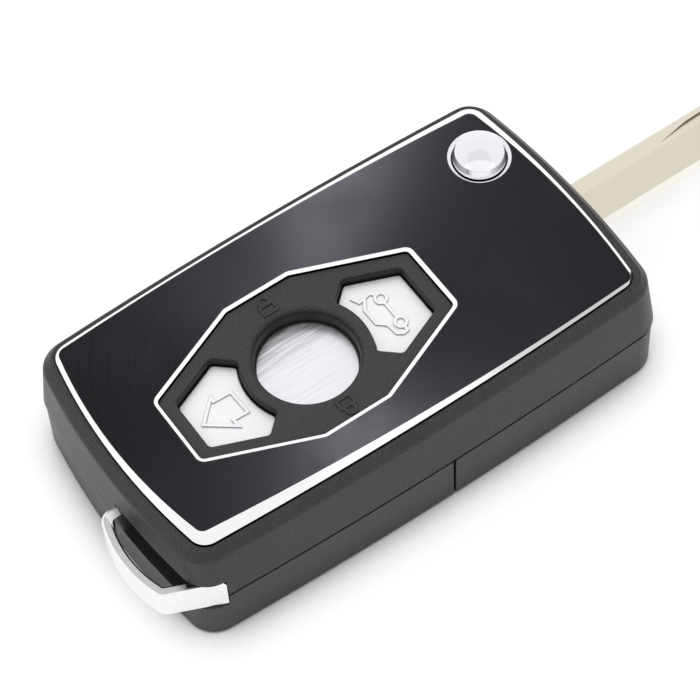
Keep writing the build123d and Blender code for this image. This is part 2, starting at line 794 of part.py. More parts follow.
with BuildPart() as crystal:
    with BuildSketch(Plane.XY.offset(board_under_z - crystal_height)):
        with Locations((chip_x, chip_y + 6.2)):
            SlotOverall(crystal_length, crystal_width)
    extrude(amount=crystal_height)
    fillet(crystal.faces().sort_by(Axis.Z)[0].edges(), 0.3)

crystal.part.label = "crystal"
export_step(crystal.part, "parts/crystal.step")

# Aerial coil: square core with a winding between two cheeks
with BuildPart() as antenna_coil:
    with BuildSketch(Plane.YZ.offset(coil_x - coil_length / 2)):
        with Locations((coil_y, board_under_z - coil_height / 2)):
            Rectangle(coil_height, coil_height)
    extrude(amount=coil_cheek)
    with BuildSketch(Plane.YZ.offset(coil_x + coil_length / 2)):
        with Locations((coil_y, board_under_z - coil_height / 2)):
            Rectangle(coil_height, coil_height)
    extrude(amount=-coil_cheek)
    with BuildSketch(Plane.YZ.offset(coil_x - coil_length / 2)):
        with Locations((coil_y, board_under_z - coil_height / 2)):
            RectangleRounded(coil_height - 0.6, coil_height - 0.6, 0.5)
    extrude(amount=coil_length)

antenna_coil.part.label = "antenna_coil"
export_step(antenna_coil.part, "parts/antenna_coil.step")

# Coin cell under the board, its small face up
with BuildPart() as coin_cell:
    with BuildSketch(Plane.XZ.offset(-cell_y)):
        with BuildLine():
            Polyline(
                (cell_x, cell_bottom_z), (cell_x + cell_radius, cell_bottom_z),
                (cell_x + cell_radius, cell_top_z - 0.5), (cell_x + cell_radius - 0.4, cell_top_z - 0.3),
                (cell_x + cell_radius - 1.2, cell_top_z - 0.3), (cell_x + cell_radius - 1.5, cell_top_z),
                (cell_x, cell_top_z), (cell_x, cell_bottom_z),
            )
        make_face()
    revolve(axis=Axis((cell_x, cell_y, 0), (0, 0, 1)))
    fillet(coin_cell.edges().group_by(Axis.Z)[0], 0.3)

coin_cell.part.label = "coin_cell"
export_step(coin_cell.part, "parts/coin_cell.step")

# Positive contact: strap under the cell with two legs up to the board
clip_reach = cell_radius + gap + strip_thick
clip_height = board_under_z - cell_bottom_z + strip_thick
with BuildPart() as cell_clip:
    with BuildSketch(Plane.XZ.offset(-cell_y + clip_width / 2)):
        with Locations((cell_x, cell_bottom_z - strip_thick)):
            Rectangle(2 * clip_reach, clip_height, align=(Align.CENTER, Align.MIN))
        with Locations((cell_x, cell_bottom_z)):
            Rectangle(
                2 * (clip_reach - strip_thick), far_beyond,
                align=(Align.CENTER, Align.MIN), mode=Mode.SUBTRACT,
            )
    extrude(amount=-clip_width)

cell_clip.part.label = "cell_clip"
export_step(cell_clip.part, "parts/cell_clip.step")

# Negative contact: plate on the board with a pip that presses on the cell
with BuildPart() as cell_spring:
    with BuildSketch(Plane.XY.offset(board_under_z)):
        with Locations((cell_x, cell_y)):
            SlotOverall(3.4 * pip_radius, 2.4 * pip_radius)
    extrude(amount=-strip_thick)
    with BuildSketch(Plane.XY.offset(cell_top_z)):
        with Locations((cell_x, cell_y)):
            Circle(pip_radius)
    extrude(amount=cell_top_gap - strip_thick)

cell_spring.part.label = "cell_spring"
export_step(cell_spring.part, "parts/cell_spring.step")

# Lower moulding at the key-ring end
with BuildPart() as battery_cover:
    add(lower_blank(-case_key_x, split_x - split_gap / 2))
    # room for the key loop and its eye
    with BuildSketch(Plane.XY.offset(loop_bottom_z - gap)):
        add(loop_room())
    extrude(amount=seam_z, mode=Mode.SUBTRACT)
    # slot of the folded blade
    with Locations((slot_end_x, slot_wall_y, slot_floor_z)):
        Box(far_beyond * 3, far_beyond, far_beyond, align=from_corner, mode=Mode.SUBTRACT)
    with BuildSketch(Plane.XY.offset(floor_thick)):
        with Locations((slot_end_x - wall / 2, slot_wall_y - slot_wall)):
            Rectangle(split_x - wall - slot_end_x + wall, slot_wall, align=(Align.MIN, Align.MIN))
        with Locations((slot_end_x - wall / 2, slot_wall_y - slot_wall)):
            Rectangle(wall / 2, 6.0, align=(Align.MIN, Align.MIN))
    extrude(amount=seam_z - running_gap - floor_thick)
    with BuildSketch(Plane.XY.offset(floor_thick)):
        with Locations(*[(slot_end_x + rib_pitch * (step + 0.5), slot_wall_y) for step in range(4)]):
            Rectangle(rib_thick, 5.2, align=(Align.CENTER, Align.MIN))
    extrude(amount=slot_floor_z - floor_thick)
    # cell ribs
    with BuildSketch(Plane.XY.offset(floor_thick)):
        with Locations((cell_x, cell_y)):
            Rectangle(rib_thick, 1.4 * cell_radius)
            Rectangle(1.4 * cell_radius, rib_thick)
    extrude(amount=cell_bottom_z - strip_thick - gap - floor_thick)
    # room for the rear shell's ears and their screw heads
    with BuildSketch(Plane.XY.offset(seam_z - ear_thick - gap)):
        add(ear_outline(gap))
    extrude(amount=seam_z, mode=Mode.SUBTRACT)
    with BuildSketch(Plane.XY.offset(seam_z - ear_thick - screw_head_thick - gap)):
        with Locations(near_screw, far_screw):
            Circle(screw_head_radius + gap)
    extrude(amount=seam_z, mode=Mode.SUBTRACT)

battery_cover.part.label = "battery_cover"
export_step(battery_cover.part, "parts/battery_cover.step")

# Lower moulding at the blade end, with the bearing and the blade's slot
with BuildPart() as rear_shell:
    add(lower_blank(split_x + split_gap / 2, case_blade_x))
    # slot of the blade on its way round
    with Locations((0, slot_wall_y, slot_floor_z)):
        Box(far_beyond * 3, far_beyond, far_beyond, align=from_corner, mode=Mode.SUBTRACT)
    with Locations((pivot_x, blade_y - blade_width / 2 - 2 * gap, slot_floor_z)):
        Box(far_beyond, far_beyond, far_beyond, align=from_corner, mode=Mode.SUBTRACT)
    with BuildSketch(Plane.XY.offset(floor_thick)):
        with Locations((split_x + wall / 2, slot_wall_y - slot_wall)):
            Rectangle(
                pivot_x - head_sweep - 3 * gap - split_x - wall / 2, slot_wall,
                align=(Align.MIN, Align.MIN),
            )
    extrude(amount=seam_z - running_gap - floor_thick)
    with BuildSketch(Plane.XY.offset(floor_thick)):
        with Locations(*[(split_x + wall + rib_pitch * (step + 0.5), slot_wall_y) for step in range(2)]):
            Rectangle(rib_thick, 5.2, align=(Align.CENTER, Align.MIN))
    extrude(amount=slot_floor_z - floor_thick)
    with BuildSketch(Plane.XY.offset(head_bottom_z - gap)):
        with Locations((pivot_x, pivot_y)):
            Circle(head_sweep + 2 * gap)
    extrude(amount=seam_z, mode=Mode.SUBTRACT)
    # slanting gap under the upper moulding towards the near corner
    with BuildSketch(Plane.YZ.offset(pivot_x + head_reach - 3.2)):
        with BuildLine():
            Polyline(
                (-case_half_y, seam_z), (-case_half_y + 3.4, seam_z - tongue_height),
                (0, seam_z - tongue_height), (0, seam_z + 1),
                (-case_half_y, seam_z + 1), (-case_half_y, seam_z),
            )
        make_face()
    extrude(amount=far_beyond, mode=Mode.SUBTRACT)
    # bearing spigot of the turning head
    with BuildSketch(Plane.XY.offset(floor_thick)):
        with Locations((pivot_x, pivot_y)):
            Circle(spring_bore_radius - running_gap)
            Circle(spring_outer + gap / 2, mode=Mode.SUBTRACT)
    extrude(amount=spigot_height)
    # ribs that hold the glass capsule
    with BuildSketch(Plane.XZ.offset(-capsule_y + capsule_length / 3)):
        with Locations((capsule_x, floor_thick)):
            Rectangle(4 * capsule_radius, 2.2 * capsule_radius, align=(Align.CENTER, Align.MIN))
        with Locations((capsule_x, capsule_z)):
            Circle(capsule_radius + gap / 2, mode=Mode.SUBTRACT)
            Rectangle(
                2 * capsule_radius + gap, far_beyond,
                align=(Align.CENTER, Align.MIN), mode=Mode.SUBTRACT,
            )
    extrude(amount=rib_thick)
    with BuildSketch(Plane.XZ.offset(-capsule_y - capsule_length / 3)):
        with Locations((capsule_x, floor_thick)):
            Rectangle(4 * capsule_radius, 2.2 * capsule_radius, align=(Align.CENTER, Align.MIN))
        with Locations((capsule_x, capsule_z)):
            Circle(capsule_radius + gap / 2, mode=Mode.SUBTRACT)
            Rectangle(
                2 * capsule_radius + gap, far_beyond,
                align=(Align.CENTER, Align.MIN), mode=Mode.SUBTRACT,
            )
    extrude(amount=rib_thick)
    # posts under the board
    with BuildSketch(Plane.XY.offset(floor_thick)):
        with Locations(*[place for place in board_posts if place[0] > split_x]):
            Circle(post_radius)
    extrude(amount=board_under_z - floor_thick)
    with BuildSketch(Plane.XY.offset(board_under_z - stake_proud - gap)):
        with Locations(*[place for place in board_posts if place[0] > split_x]):
            Circle(stake_radius + gap)
    extrude(amount=far_beyond, mode=Mode.SUBTRACT)
    # screw ears
    with BuildSketch(Plane.XY.offset(seam_z - ear_thick)):
        add(ear_outline(0.0))
        with Locations(near_screw, far_screw):
            Circle(screw_radius + gap, mode=Mode.SUBTRACT)
    extrude(amount=ear_thick)

rear_shell.part.label = "rear_shell"
export_step(rear_shell.part, "parts/rear_shell.step")

# Metal key loop, one closed band with a screw tab inside the case
with BuildPart() as key_loop:
    with BuildSketch(Plane.XY.offset(loop_bottom_z)):
        add(loop_outline(0.0))
        add(loop_outline(-loop_band), mode=Mode.SUBTRACT)
    extrude(amount=loop_height)
    chamfer(key_loop.faces().sort_by(Axis.Z)[-1].edges(), loop_edge)
    chamfer(key_loop.faces().sort_by(Axis.Z)[0].edges(), loop_edge)
    # sloping facets on the inner side of the legs
    with BuildSketch(Plane.YZ.offset(1.9 - loop_reach)):
        with Locations((loop_leg_y - facet_start, loop_top_z)):
            Polygon((0, 0), (-2 * loop_band, 0), (-2 * loop_band, -facet_drop * 2), align=None)
    extrude(amount=facet_length, mode=Mode.SUBTRACT)
    leg_end = Vector(loop_leg_x, loop_end_y, loop_top_z)
    along_leg = (leg_end - Vector(1.35 - loop_reach, loop_leg_y - 14.0, loop_top_z)).normalized()
    across_leg = Vector(-along_leg.Y, along_leg.X, 0)
    facet_from = leg_end - along_leg * (facet_length + 2.5) + across_leg * facet_start
    with BuildSketch(Plane(origin=facet_from, x_dir=across_leg, z_dir=along_leg)):
        Polygon((0, 0), (2 * loop_band, 0), (2 * loop_band, -facet_drop * 2), align=None)
    extrude(amount=facet_length, mode=Mode.SUBTRACT)
    with BuildSketch(Plane.XY.offset(loop_tab_z)):
        with Locations(loop_screw):
            Circle(boss_radius + gap)
        with Locations((loop_inner_x - loop_band, loop_screw[1])):
            Rectangle(loop_screw[0] - loop_inner_x + loop_band, 2.4, align=(Align.MIN, Align.CENTER))
        with Locations(loop_screw):
            Circle(screw_radius + gap, mode=Mode.SUBTRACT)
    extrude(amount=loop_tab_thick)

key_loop.part.label = "key_loop"
export_step(key_loop.part, "parts/key_loop.step")

# Screws: two through the rear shell's ears and one through the loop's tab
with BuildPart() as case_screws:
    with BuildSketch(Plane.XY.offset(seam_z - ear_thick - screw_head_thick)):
        with Locations(near_screw, far_screw):
            Circle(screw_head_radius)
    extrude(amount=screw_head_thick)
    with BuildSketch(Plane.XY.offset(seam_z - ear_thick)):
        with Locations(near_screw, far_screw):
            Circle(screw_radius)
    extrude(amount=screw_length)
    with BuildSketch(Plane.XY.offset(seam_z - ear_thick - screw_head_thick)):
        with Locations(near_screw, far_screw):
            Rectangle(recess_length, recess_width)
            Rectangle(recess_width, recess_length)
    extrude(amount=recess_depth, mode=Mode.SUBTRACT)
    with BuildSketch(Plane.XY.offset(loop_tab_z - screw_head_thick)):
        with Locations(loop_screw):
            Circle(screw_head_radius)
    extrude(amount=screw_head_thick)
    with BuildSketch(Plane.XY.offset(loop_tab_z)):
        with Locations(loop_screw):
            Circle(screw_radius)
    extrude(amount=screw_length)
    with BuildSketch(Plane.XY.offset(loop_tab_z - screw_head_thick)):
        with Locations(loop_screw):
            Rectangle(recess_length, recess_width)
            Rectangle(recess_width, recess_length)
    extrude(amount=recess_depth, mode=Mode.SUBTRACT)

case_screws.part.label = "case_screws"
export_step(case_screws.part, "parts/case_screws.step")

with BuildPart() as transponder:
    with BuildSketch(Plane.XZ.offset(-capsule_y - capsule_length / 2)):
        with Locations((capsule_x, capsule_z)):
            Circle(capsule_radius)
    extrude(amount=capsule_length)
    fillet(transponder.edges().filter_by(GeomType.CIRCLE), 0.8 * capsule_radius)

transponder.part.label = "transponder"
export_step(transponder.part, "parts/transponder.step")

# Turning head: a drum with a journal above it, a bore for spring and button, and the blade's cheeks
with BuildPart() as blade_hub:
    with BuildSketch(Plane.XY.offset(drum_bottom_z)):
        with Locations((pivot_x, pivot_y)):
            Circle(drum_radius)
    extrude(amount=drum_top_z - drum_bottom_z)
    with BuildSketch(Plane.XY.offset(drum_top_z)):
        with Locations((pivot_x, pivot_y)):
            Circle(journal_radius)
    extrude(amount=deck_under_z - 2 * gap - drum_top_z)
    with BuildSketch(Plane.XY.offset(head_bottom_z)):
        with Locations((pivot_x - head_back, blade_y - blade_width / 2 - running_gap)):
            Rectangle(head_reach + head_back, blade_offset, align=(Align.MIN, Align.MIN))
        fillet(vertices().sort_by(Axis.Y)[:2], 1.2)
    extrude(amount=head_top_z - head_bottom_z)
    # seat of the blade's tang
    with Locations((head_end_x, tang_y, blade_bottom_z)):
        Box(
            tang_length, tang_width + 2 * running_gap, blade_thick,
            align=(Align.MAX, Align.CENTER, Align.MIN), mode=Mode.SUBTRACT,
        )
    with BuildSketch(Plane.XY.offset(head_bottom_z)):
        with Locations((pin_x, tang_y)):
            Circle(pin_radius)
    extrude(amount=head_top_z - head_bottom_z, mode=Mode.SUBTRACT)
    # bores
    with BuildSketch(Plane.XY.offset(drum_bottom_z)):
        with Locations((pivot_x, pivot_y)):
            Circle(spring_bore_radius)
    extrude(amount=release_flange_z + release_flange_thick + 2 * gap - drum_bottom_z, mode=Mode.SUBTRACT)
    with BuildSketch(Plane.XY.offset(drum_bottom_z)):
        with Locations((pivot_x, pivot_y)):
            Circle(release_radius + running_gap)
    extrude(amount=deck_under_z - drum_bottom_z, mode=Mode.SUBTRACT)

blade_hub.part.label = "blade_hub"
export_step(blade_hub.part, "parts/blade_hub.step")

with BuildPart() as blade_pin:
    with BuildSketch(Plane.XY.offset(head_bottom_z)):
        with Locations((pin_x, tang_y)):
            Circle(pin_radius)
            Circle(pin_radius / 2, mode=Mode.SUBTRACT)
    extrude(amount=head_top_z - head_bottom_z)

blade_pin.part.label = "blade_pin"
export_step(blade_pin.part, "parts/blade_pin.step")

# Key blade: stepped lands on both faces, a track that wanders and runs out, and a pointed tip
track_start_x = blade_tip_x - track_from_tip
track_length = track_from_tip + 1.0
# Stations of the track: share of its length, share of its drift, share of its depth
track_stations = (
    (0.0, 0.0, 0.03), (0.13, 0.45, 0.55), (0.27, 0.9, 1.0), (0.4, 1.0, 1.0), (0.56, 0.95, 1.0),
    (0.75, 0.3, 1.0), (1.0, 0.0, 1.0),
)
near_edge_y = blade_y - blade_width / 2
far_edge_y = blade_y + blade_width / 2
with BuildPart() as key_blade:
    with BuildSketch(Plane.XY.offset(blade_bottom_z)):
        with BuildLine():
            Polyline(
                (head_end_x + running_gap, near_edge_y), (blade_tip_x - tip_length, near_edge_y),
                (blade_tip_x, blade_y - tip_half), (blade_tip_x, blade_y + tip_half),
                (blade_tip_x - tip_length, far_edge_y), (head_end_x + running_gap, far_edge_y),
                (head_end_x + running_gap, near_edge_y),
            )
        make_face()
        with Locations((head_end_x + 1, tang_y)):
            Rectangle(tang_length - running_gap + 1, tang_width, align=(Align.MAX, Align.CENTER))
    extrude(amount=blade_thick)
    for side_of_blade in (1, -1):
        level = blade_bottom_z + blade_thick / 2 + side_of_blade * (blade_thick / 2 - blade_step)
        with BuildSketch(Plane.XY.offset(level)):
            with Locations((head_end_x + 1.2, blade_y + side_of_blade * blade_split)):
                Rectangle(
                    far_beyond * 2, blade_width,
                    align=(Align.MIN, Align.MIN if side_of_blade > 0 else Align.MAX),
                )
        extrude(amount=side_of_blade * blade_step, mode=Mode.SUBTRACT)
        surface = blade_bottom_z + blade_thick / 2 + side_of_blade * blade_thick / 2
        for share, drift, sink in track_stations:
            with BuildSketch(Plane.YZ.offset(track_start_x + share * track_length)):
                add(track_section(blade_y, side_of_blade, surface, drift, sink))
        loft(ruled=True, mode=Mode.SUBTRACT)
    with BuildSketch(Plane.XY.offset(blade_bottom_z)):
        with Locations((pin_x, tang_y)):
            Circle(pin_radius)
    extrude(amount=blade_thick, mode=Mode.SUBTRACT)

key_blade.part.label = "key_blade"
export_step(key_blade.part, "parts/key_blade.step")

# Release button: hollow polished cap with a sloping shoulder and a retaining flange below
dome_curve = (release_cap_radius**2 + release_dome**2) / (2 * release_dome)
dome_angle = degrees(asin(release_cap_radius / dome_curve))
release_inside_z = release_cap_z - release_top_thick
release_bore = release_radius - release_wall
shoulder_z = release_cap_z - release_line
with BuildPart() as release_button:
    with BuildSketch(Plane.XZ.offset(-pivot_y)):
        with BuildLine():
            Polyline(
                (pivot_x, release_inside_z), (pivot_x + release_bore, release_inside_z),
                (pivot_x + release_bore, release_flange_z),
                (pivot_x + release_flange_radius, release_flange_z),
                (pivot_x + release_flange_radius, release_flange_z + release_flange_thick),
                (pivot_x + release_radius, release_flange_z + release_flange_thick),
                (pivot_x + release_radius, shoulder_z - release_bevel),
                (pivot_x + release_cap_radius + release_ledge, shoulder_z),
                (pivot_x + release_cap_radius, shoulder_z),
                (pivot_x + release_cap_radius, release_cap_z),
            )
            CenterArc(
                (pivot_x, release_cap_z + release_dome - dome_curve), dome_curve,
                90 - dome_angle, dome_angle,
            )
            Line((pivot_x, release_cap_z + release_dome), (pivot_x, release_inside_z))
        make_face()
    revolve(axis=Axis((pivot_x, pivot_y, 0), (0, 0, 1)))

release_button.part.label = "release_button"
export_step(release_button.part, "parts/release_button.step")

# Coil spring between the rear shell's floor and the release button's flange
spring_height = release_flange_z - floor_thick - spring_wire
with BuildPart() as flip_spring:
    with BuildLine():
        Helix(
            pitch=spring_height / spring_turns, height=spring_height, radius=spring_radius,
            center=(pivot_x, pivot_y, floor_thick + spring_wire / 2),
        )
    with BuildSketch(Plane.XZ.offset(-pivot_y)):
        with Locations((pivot_x + spring_radius, floor_thick + spring_wire / 2)):
            Circle(spring_wire / 2)
    sweep(is_frenet=True)

flip_spring.part.label = "flip_spring"
export_step(flip_spring.part, "parts/flip_spring.step")
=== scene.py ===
"""Finishes and stage of a folding key with a remote control inside."""

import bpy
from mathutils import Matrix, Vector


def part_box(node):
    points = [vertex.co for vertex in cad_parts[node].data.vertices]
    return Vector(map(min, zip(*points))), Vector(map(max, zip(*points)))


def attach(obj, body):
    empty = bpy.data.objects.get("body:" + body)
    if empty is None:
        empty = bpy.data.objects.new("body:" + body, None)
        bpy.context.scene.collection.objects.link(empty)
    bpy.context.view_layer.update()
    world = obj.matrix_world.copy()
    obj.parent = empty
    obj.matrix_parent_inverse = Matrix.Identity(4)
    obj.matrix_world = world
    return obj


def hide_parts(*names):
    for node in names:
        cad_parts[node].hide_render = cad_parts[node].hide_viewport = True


bl_info = {
    "name": "Flip key remote shell",
    "version": (1, 0, 0),
    "blender": (4, 5, 0),
    "location": "View3D > Sidebar > Flip key",
    "description": "Gives a folding key its finishes, its small pieces and its stage",
    "category": "Object",
}

from math import cos, pi, radians, sin

import bpy
from mathutils import Matrix, Vector

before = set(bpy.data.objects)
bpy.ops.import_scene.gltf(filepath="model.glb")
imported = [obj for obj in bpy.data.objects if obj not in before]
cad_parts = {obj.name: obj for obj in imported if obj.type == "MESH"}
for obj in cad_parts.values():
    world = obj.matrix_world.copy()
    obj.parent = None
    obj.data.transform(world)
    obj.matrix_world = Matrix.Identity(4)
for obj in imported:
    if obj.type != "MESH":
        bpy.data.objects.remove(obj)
MM = 0.001
TIN = (0.74, 0.73, 0.7, 1.0)


def middle_of(low, high):
    """The middle between two corners of a box."""
    return (Vector(low) + Vector(high)) / 2


# Places that the finishes are centred on
emblem_low, emblem_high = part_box("emblem_disc")
blade_low, blade_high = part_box("key_blade")
coil_low, coil_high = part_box("antenna_coil")
cell_low, cell_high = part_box("coin_cell")
emblem_centre = middle_of(emblem_low, emblem_high)
blade_centre = middle_of(blade_low, blade_high)
coil_centre = middle_of(coil_low, coil_high)
cell_centre = middle_of(cell_low, cell_high)


def colour_prop(name, description, default):
    """A colour that the panel shows with a swatch."""
    return bpy.props.FloatVectorProperty(
        name=name, description=description, default=default, min=0.0, max=1.0, size=4, subtype="COLOR",
    )


def length_prop(name, description, default):
    """A length in metres."""
    return bpy.props.FloatProperty(
        name=name, description=description, default=default, min=0.0, subtype="DISTANCE", unit="LENGTH",
        precision=5,
    )


def level_prop(name, description, default):
    """A level of light, where 1 is white."""
    return bpy.props.FloatProperty(name=name, description=description, default=default, min=0.0, max=2.0)


def power_prop(name, description, default):
    """The power of a lamp in watts."""
    return bpy.props.FloatProperty(
        name=name, description=description, default=default, min=0.0, subtype="POWER", unit="POWER",
    )


def angle_prop(name, description, degrees):
    """An angle, given in degrees."""
    return bpy.props.FloatProperty(
        name=name, description=description, default=radians(degrees), subtype="ANGLE", unit="ROTATION",
    )


class FlipKeyFinish(bpy.types.PropertyGroup):
    """Colours and sizes of the key's own surfaces."""

    case_colour: colour_prop("Case", "Grained black mouldings", (0.041, 0.039, 0.04, 1.0))
    plate_colour: colour_prop("Face plate", "Spun black face", (0.0087, 0.0084, 0.0097, 1.0))
    cut_colour: colour_prop("Cut edge", "Bright cut edges of the face plate", (0.97, 0.97, 0.98, 1.0))
    surround_colour: colour_prop("Surround", "Black moulding round the buttons", (0.045, 0.042, 0.046, 1.0))
    button_colour: colour_prop("Buttons", "Satin silver buttons", (0.955, 0.955, 0.98, 1.0))
    disc_colour: colour_prop("Disc", "Brushed disc of the centre button", (0.93, 0.94, 0.97, 1.0))
    blade_colour: colour_prop("Blade", "Nickel-plated blade", (0.78, 0.74, 0.625, 1.0))
    grain_size: length_prop("Grain", "Size of the moulded grain", 0.18 * MM)
    ring_pitch: length_prop("Ring pitch", "Pitch of the spun rings on the face plate", 0.36 * MM)
    brush_pitch: length_prop("Brush pitch", "Width of a brushed line on the centre disc", 0.12 * MM)
    bead_radius: length_prop("Glue bead", "Thickness of the glue bead round the disc", 0.12 * MM)
    wire_radius: length_prop("Coil wire", "Radius of the aerial coil's wire", 0.09 * MM)
    coil_turns: bpy.props.IntProperty(
        name="Coil turns", description="Turns of the aerial coil", default=36, min=4, max=80,
    )


class FlipKeyStage(bpy.types.PropertyGroup):
    """Floor, lamps and camera."""

    floor_colour: colour_prop("Floor", "Pale table top", (0.34, 0.34, 0.34, 1.0))
    sky_level: level_prop("Sky", "Level of the light from all round", 0.72)
    lamp_power: power_prop("Lamp", "Power of a large soft lamp", 0.95)
    mirror_level: level_prop("Mirrored", "Level of what flat metal mirrors", 1.04)
    top_power: power_prop("Top", "Power of the lamp overhead that only polished metal shows", 0.24)
    sheen_power: power_prop("Sheen", "Power of a small lamp", 0.46)
    glare: level_prop("Glare", "Glare of the table top", 0.78)
    contact_reach: length_prop("Contact", "Reach of the shade round the key's foot", 5.5 * MM)
    azimuth: angle_prop("Turn", "Camera's turn from the row's X axis", 58.0)
    elevation: angle_prop("Height angle", "Camera's angle over the table", 58.0)
    roll: angle_prop("Roll", "Camera's roll", -3.5)
    distance: length_prop("Distance", "Camera's distance from the middle of its view", 349.8 * MM)
    lens: bpy.props.FloatProperty(
        name="Lens", description="Focal length", default=143.9, min=10.0, subtype="DISTANCE_CAMERA",
        unit="CAMERA",
    )


def place(tree, kind, inputs=None, **settings):
    """Adds a node to a tree, sets its options, and sets or links its inputs."""
    made = tree.nodes.new(kind)
    for name, value in settings.items():
        setattr(made, name, value)
    for name, value in (inputs or {}).items():
        if isinstance(value, bpy.types.NodeSocket):
            tree.links.new(value, made.inputs[name])
        else:
            made.inputs[name].default_value = value
    return made


def ranged(tree, value, start, end, low=0.0, high=1.0):
    """Turns the stretch of a value from start to end into one from low to high."""
    limits = {"Value": value, "From Min": start, "From Max": end, "To Min": low, "To Max": high}
    return place(tree, "ShaderNodeMapRange", limits).outputs[0]


def scaled(tree, value, low, high):
    """Stretches a value of 0 to 1 to run from low to high."""
    return ranged(tree, value, 0.0, 1.0, low, high)


def mixed(tree, factor, first, second):
    """Mixes two colours."""
    mixing = place(tree, "ShaderNodeMix", {0: factor, 6: first, 7: second}, data_type="RGBA")
    return mixing.outputs[2]


def sum_of(tree, operation, first, second):
    """One sum on two values."""
    return place(tree, "ShaderNodeMath", {0: first, 1: second}, operation=operation).outputs[0]


def absolute(tree, value):
    """A value without its sign."""
    return place(tree, "ShaderNodeMath", {0: value}, operation="ABSOLUTE").outputs[0]


def noise(tree, where, scale, detail, roughness=0.5):
    """Cloudy noise of 0 to 1."""
    given = {"Vector": where, "Scale": scale, "Detail": detail, "Roughness": roughness}
    return place(tree, "ShaderNodeTexNoise", given).outputs[0]


def on_piece(tree):
    """Where a point lies, in metres from the origin."""
    return place(tree, "ShaderNodeTexCoord").outputs["Object"]


def separated(tree, vector):
    """The X, Y and Z of a vector."""
    return place(tree, "ShaderNodeSeparateXYZ", {0: vector}).outputs


def facing_up(tree):
    """1 where the surface faces up, 0 on a wall and -1 where it faces down."""
    return separated(tree, place(tree, "ShaderNodeNewGeometry").outputs["True Normal"])["Z"]


def grey(level):
    """A neutral colour."""
    return (level, level, level, 1.0)


def toned(colour, share):
    """A colour at a share of its level."""
    return tuple(share * part for part in colour[:3]) + (1.0,)


def new_tree(name, kind, inputs, outputs):
    """An empty group with its inputs, given as (type, name, default), and outputs, as (type, name)."""
    tree = bpy.data.node_groups.new(name, kind)
    for socket_type, label, default in inputs:
        socket = tree.interface.new_socket(name=label, in_out="INPUT", socket_type=socket_type)
        if default is not None:
            socket.default_value = default
    for socket_type, label in outputs:
        tree.interface.new_socket(name=label, in_out="OUTPUT", socket_type=socket_type)
    return tree, tree.nodes.new("NodeGroupInput").outputs, tree.nodes.new("NodeGroupOutput").inputs


def make_moulded_grain():
    """Fine spark-eroded grain of a moulded surface, with slow changes of gloss and tone."""
    group, given, result = new_tree(
        "Moulded grain", "ShaderNodeTree",
        [
            ("NodeSocketFloat", "Grains per metre", 6000.0),
            ("NodeSocketColor", "Colour", grey(0.02)),
            ("NodeSocketFloat", "Roughness", 0.5),
        ],
        [("NodeSocketColor", "Colour"), ("NodeSocketFloat", "Roughness"), ("NodeSocketFloat", "Height")],
    )
    patches_per_metre = 140.0
    where = on_piece(group)
    grain = noise(group, where, given["Grains per metre"], detail=2.0, roughness=0.6)
    patches = noise(group, where, patches_per_metre, detail=4.0, roughness=0.6)
    speck = ranged(group, grain, 0.3, 0.7, low=0.45, high=1.55)
    tone = sum_of(group, "MULTIPLY", scaled(group, patches, low=0.85, high=1.15), speck)
    tinted = place(
        group, "ShaderNodeVectorMath", {0: given["Colour"], "Scale": tone}, operation="SCALE",
    ).outputs[0]
    gloss = sum_of(group, "MULTIPLY", given["Roughness"], scaled(group, patches, low=0.88, high=1.12))
    group.links.new(tinted, result["Colour"])
    group.links.new(gloss, result["Roughness"])
    group.links.new(grain, result["Height"])


def make_brushed_lines():
    """Long thin lines along X, as a brush leaves them."""
    group, given, result = new_tree(
        "Brushed lines", "ShaderNodeTree",
        [("NodeSocketFloat", "Lines per metre", 8000.0), ("NodeSocketFloat", "Length ratio", 0.03)],
        [("NodeSocketFloat", "Line"), ("NodeSocketFloat", "Band")],
    )
    bands_per_line = 0.22
    across = given["Lines per metre"]
    along = sum_of(group, "MULTIPLY", across, given["Length ratio"])
    stretch = place(group, "ShaderNodeCombineXYZ", {"X": along, "Y": across, "Z": across}).outputs[0]
    stretched = place(
        group, "ShaderNodeVectorMath", {0: on_piece(group), 1: stretch}, operation="MULTIPLY",
    ).outputs[0]
    line = noise(group, stretched, scale=1.0, detail=3.0)
    band = noise(group, stretched, bands_per_line, detail=2.0)
    group.links.new(line, result["Line"])
    group.links.new(band, result["Band"])


def from_centre(tree, centre_x, centre_y):
    """Way from an upright axis to a point, in the plane of the face."""
    spot = separated(tree, on_piece(tree))
    across = sum_of(tree, "SUBTRACT", spot["X"], centre_x)
    along = sum_of(tree, "SUBTRACT", spot["Y"], centre_y)
    return place(tree, "ShaderNodeCombineXYZ", {"X": across, "Y": along}).outputs[0]


def make_spun_rings():
    """Fine turned rings round a centre, in the plane of the face."""
    group, given, result = new_tree(
        "Spun rings", "ShaderNodeTree",
        [
            ("NodeSocketFloat", "Centre X", 0.0),
            ("NodeSocketFloat", "Centre Y", 0.0),
            ("NodeSocketFloat", "Rings per metre", 9000.0),
        ],
        [("NodeSocketFloat", "Ring")],
    )
    offset = from_centre(group, given["Centre X"], given["Centre Y"])
    radius = place(group, "ShaderNodeVectorMath", {0: offset}, operation="LENGTH").outputs["Value"]
    turns = sum_of(group, "MULTIPLY", radius, given["Rings per metre"])
    angle = sum_of(group, "MULTIPLY", turns, 2.0 * pi)
    wave = place(group, "ShaderNodeMath", {0: angle}, operation="SINE").outputs[0]
    groove = ranged(group, wave, -1.0, 1.0)
    # the tool chatters, so that no two rings are equally deep
    chatter = place(
        group, "ShaderNodeTexNoise", {"W": turns, "Scale": 0.7, "Detail": 1.0}, noise_dimensions="1D",
    ).outputs[0]
    ring = sum_of(group, "MULTIPLY", groove, scaled(group, chatter, low=0.3, high=1.5))
    group.links.new(ring, result["Ring"])


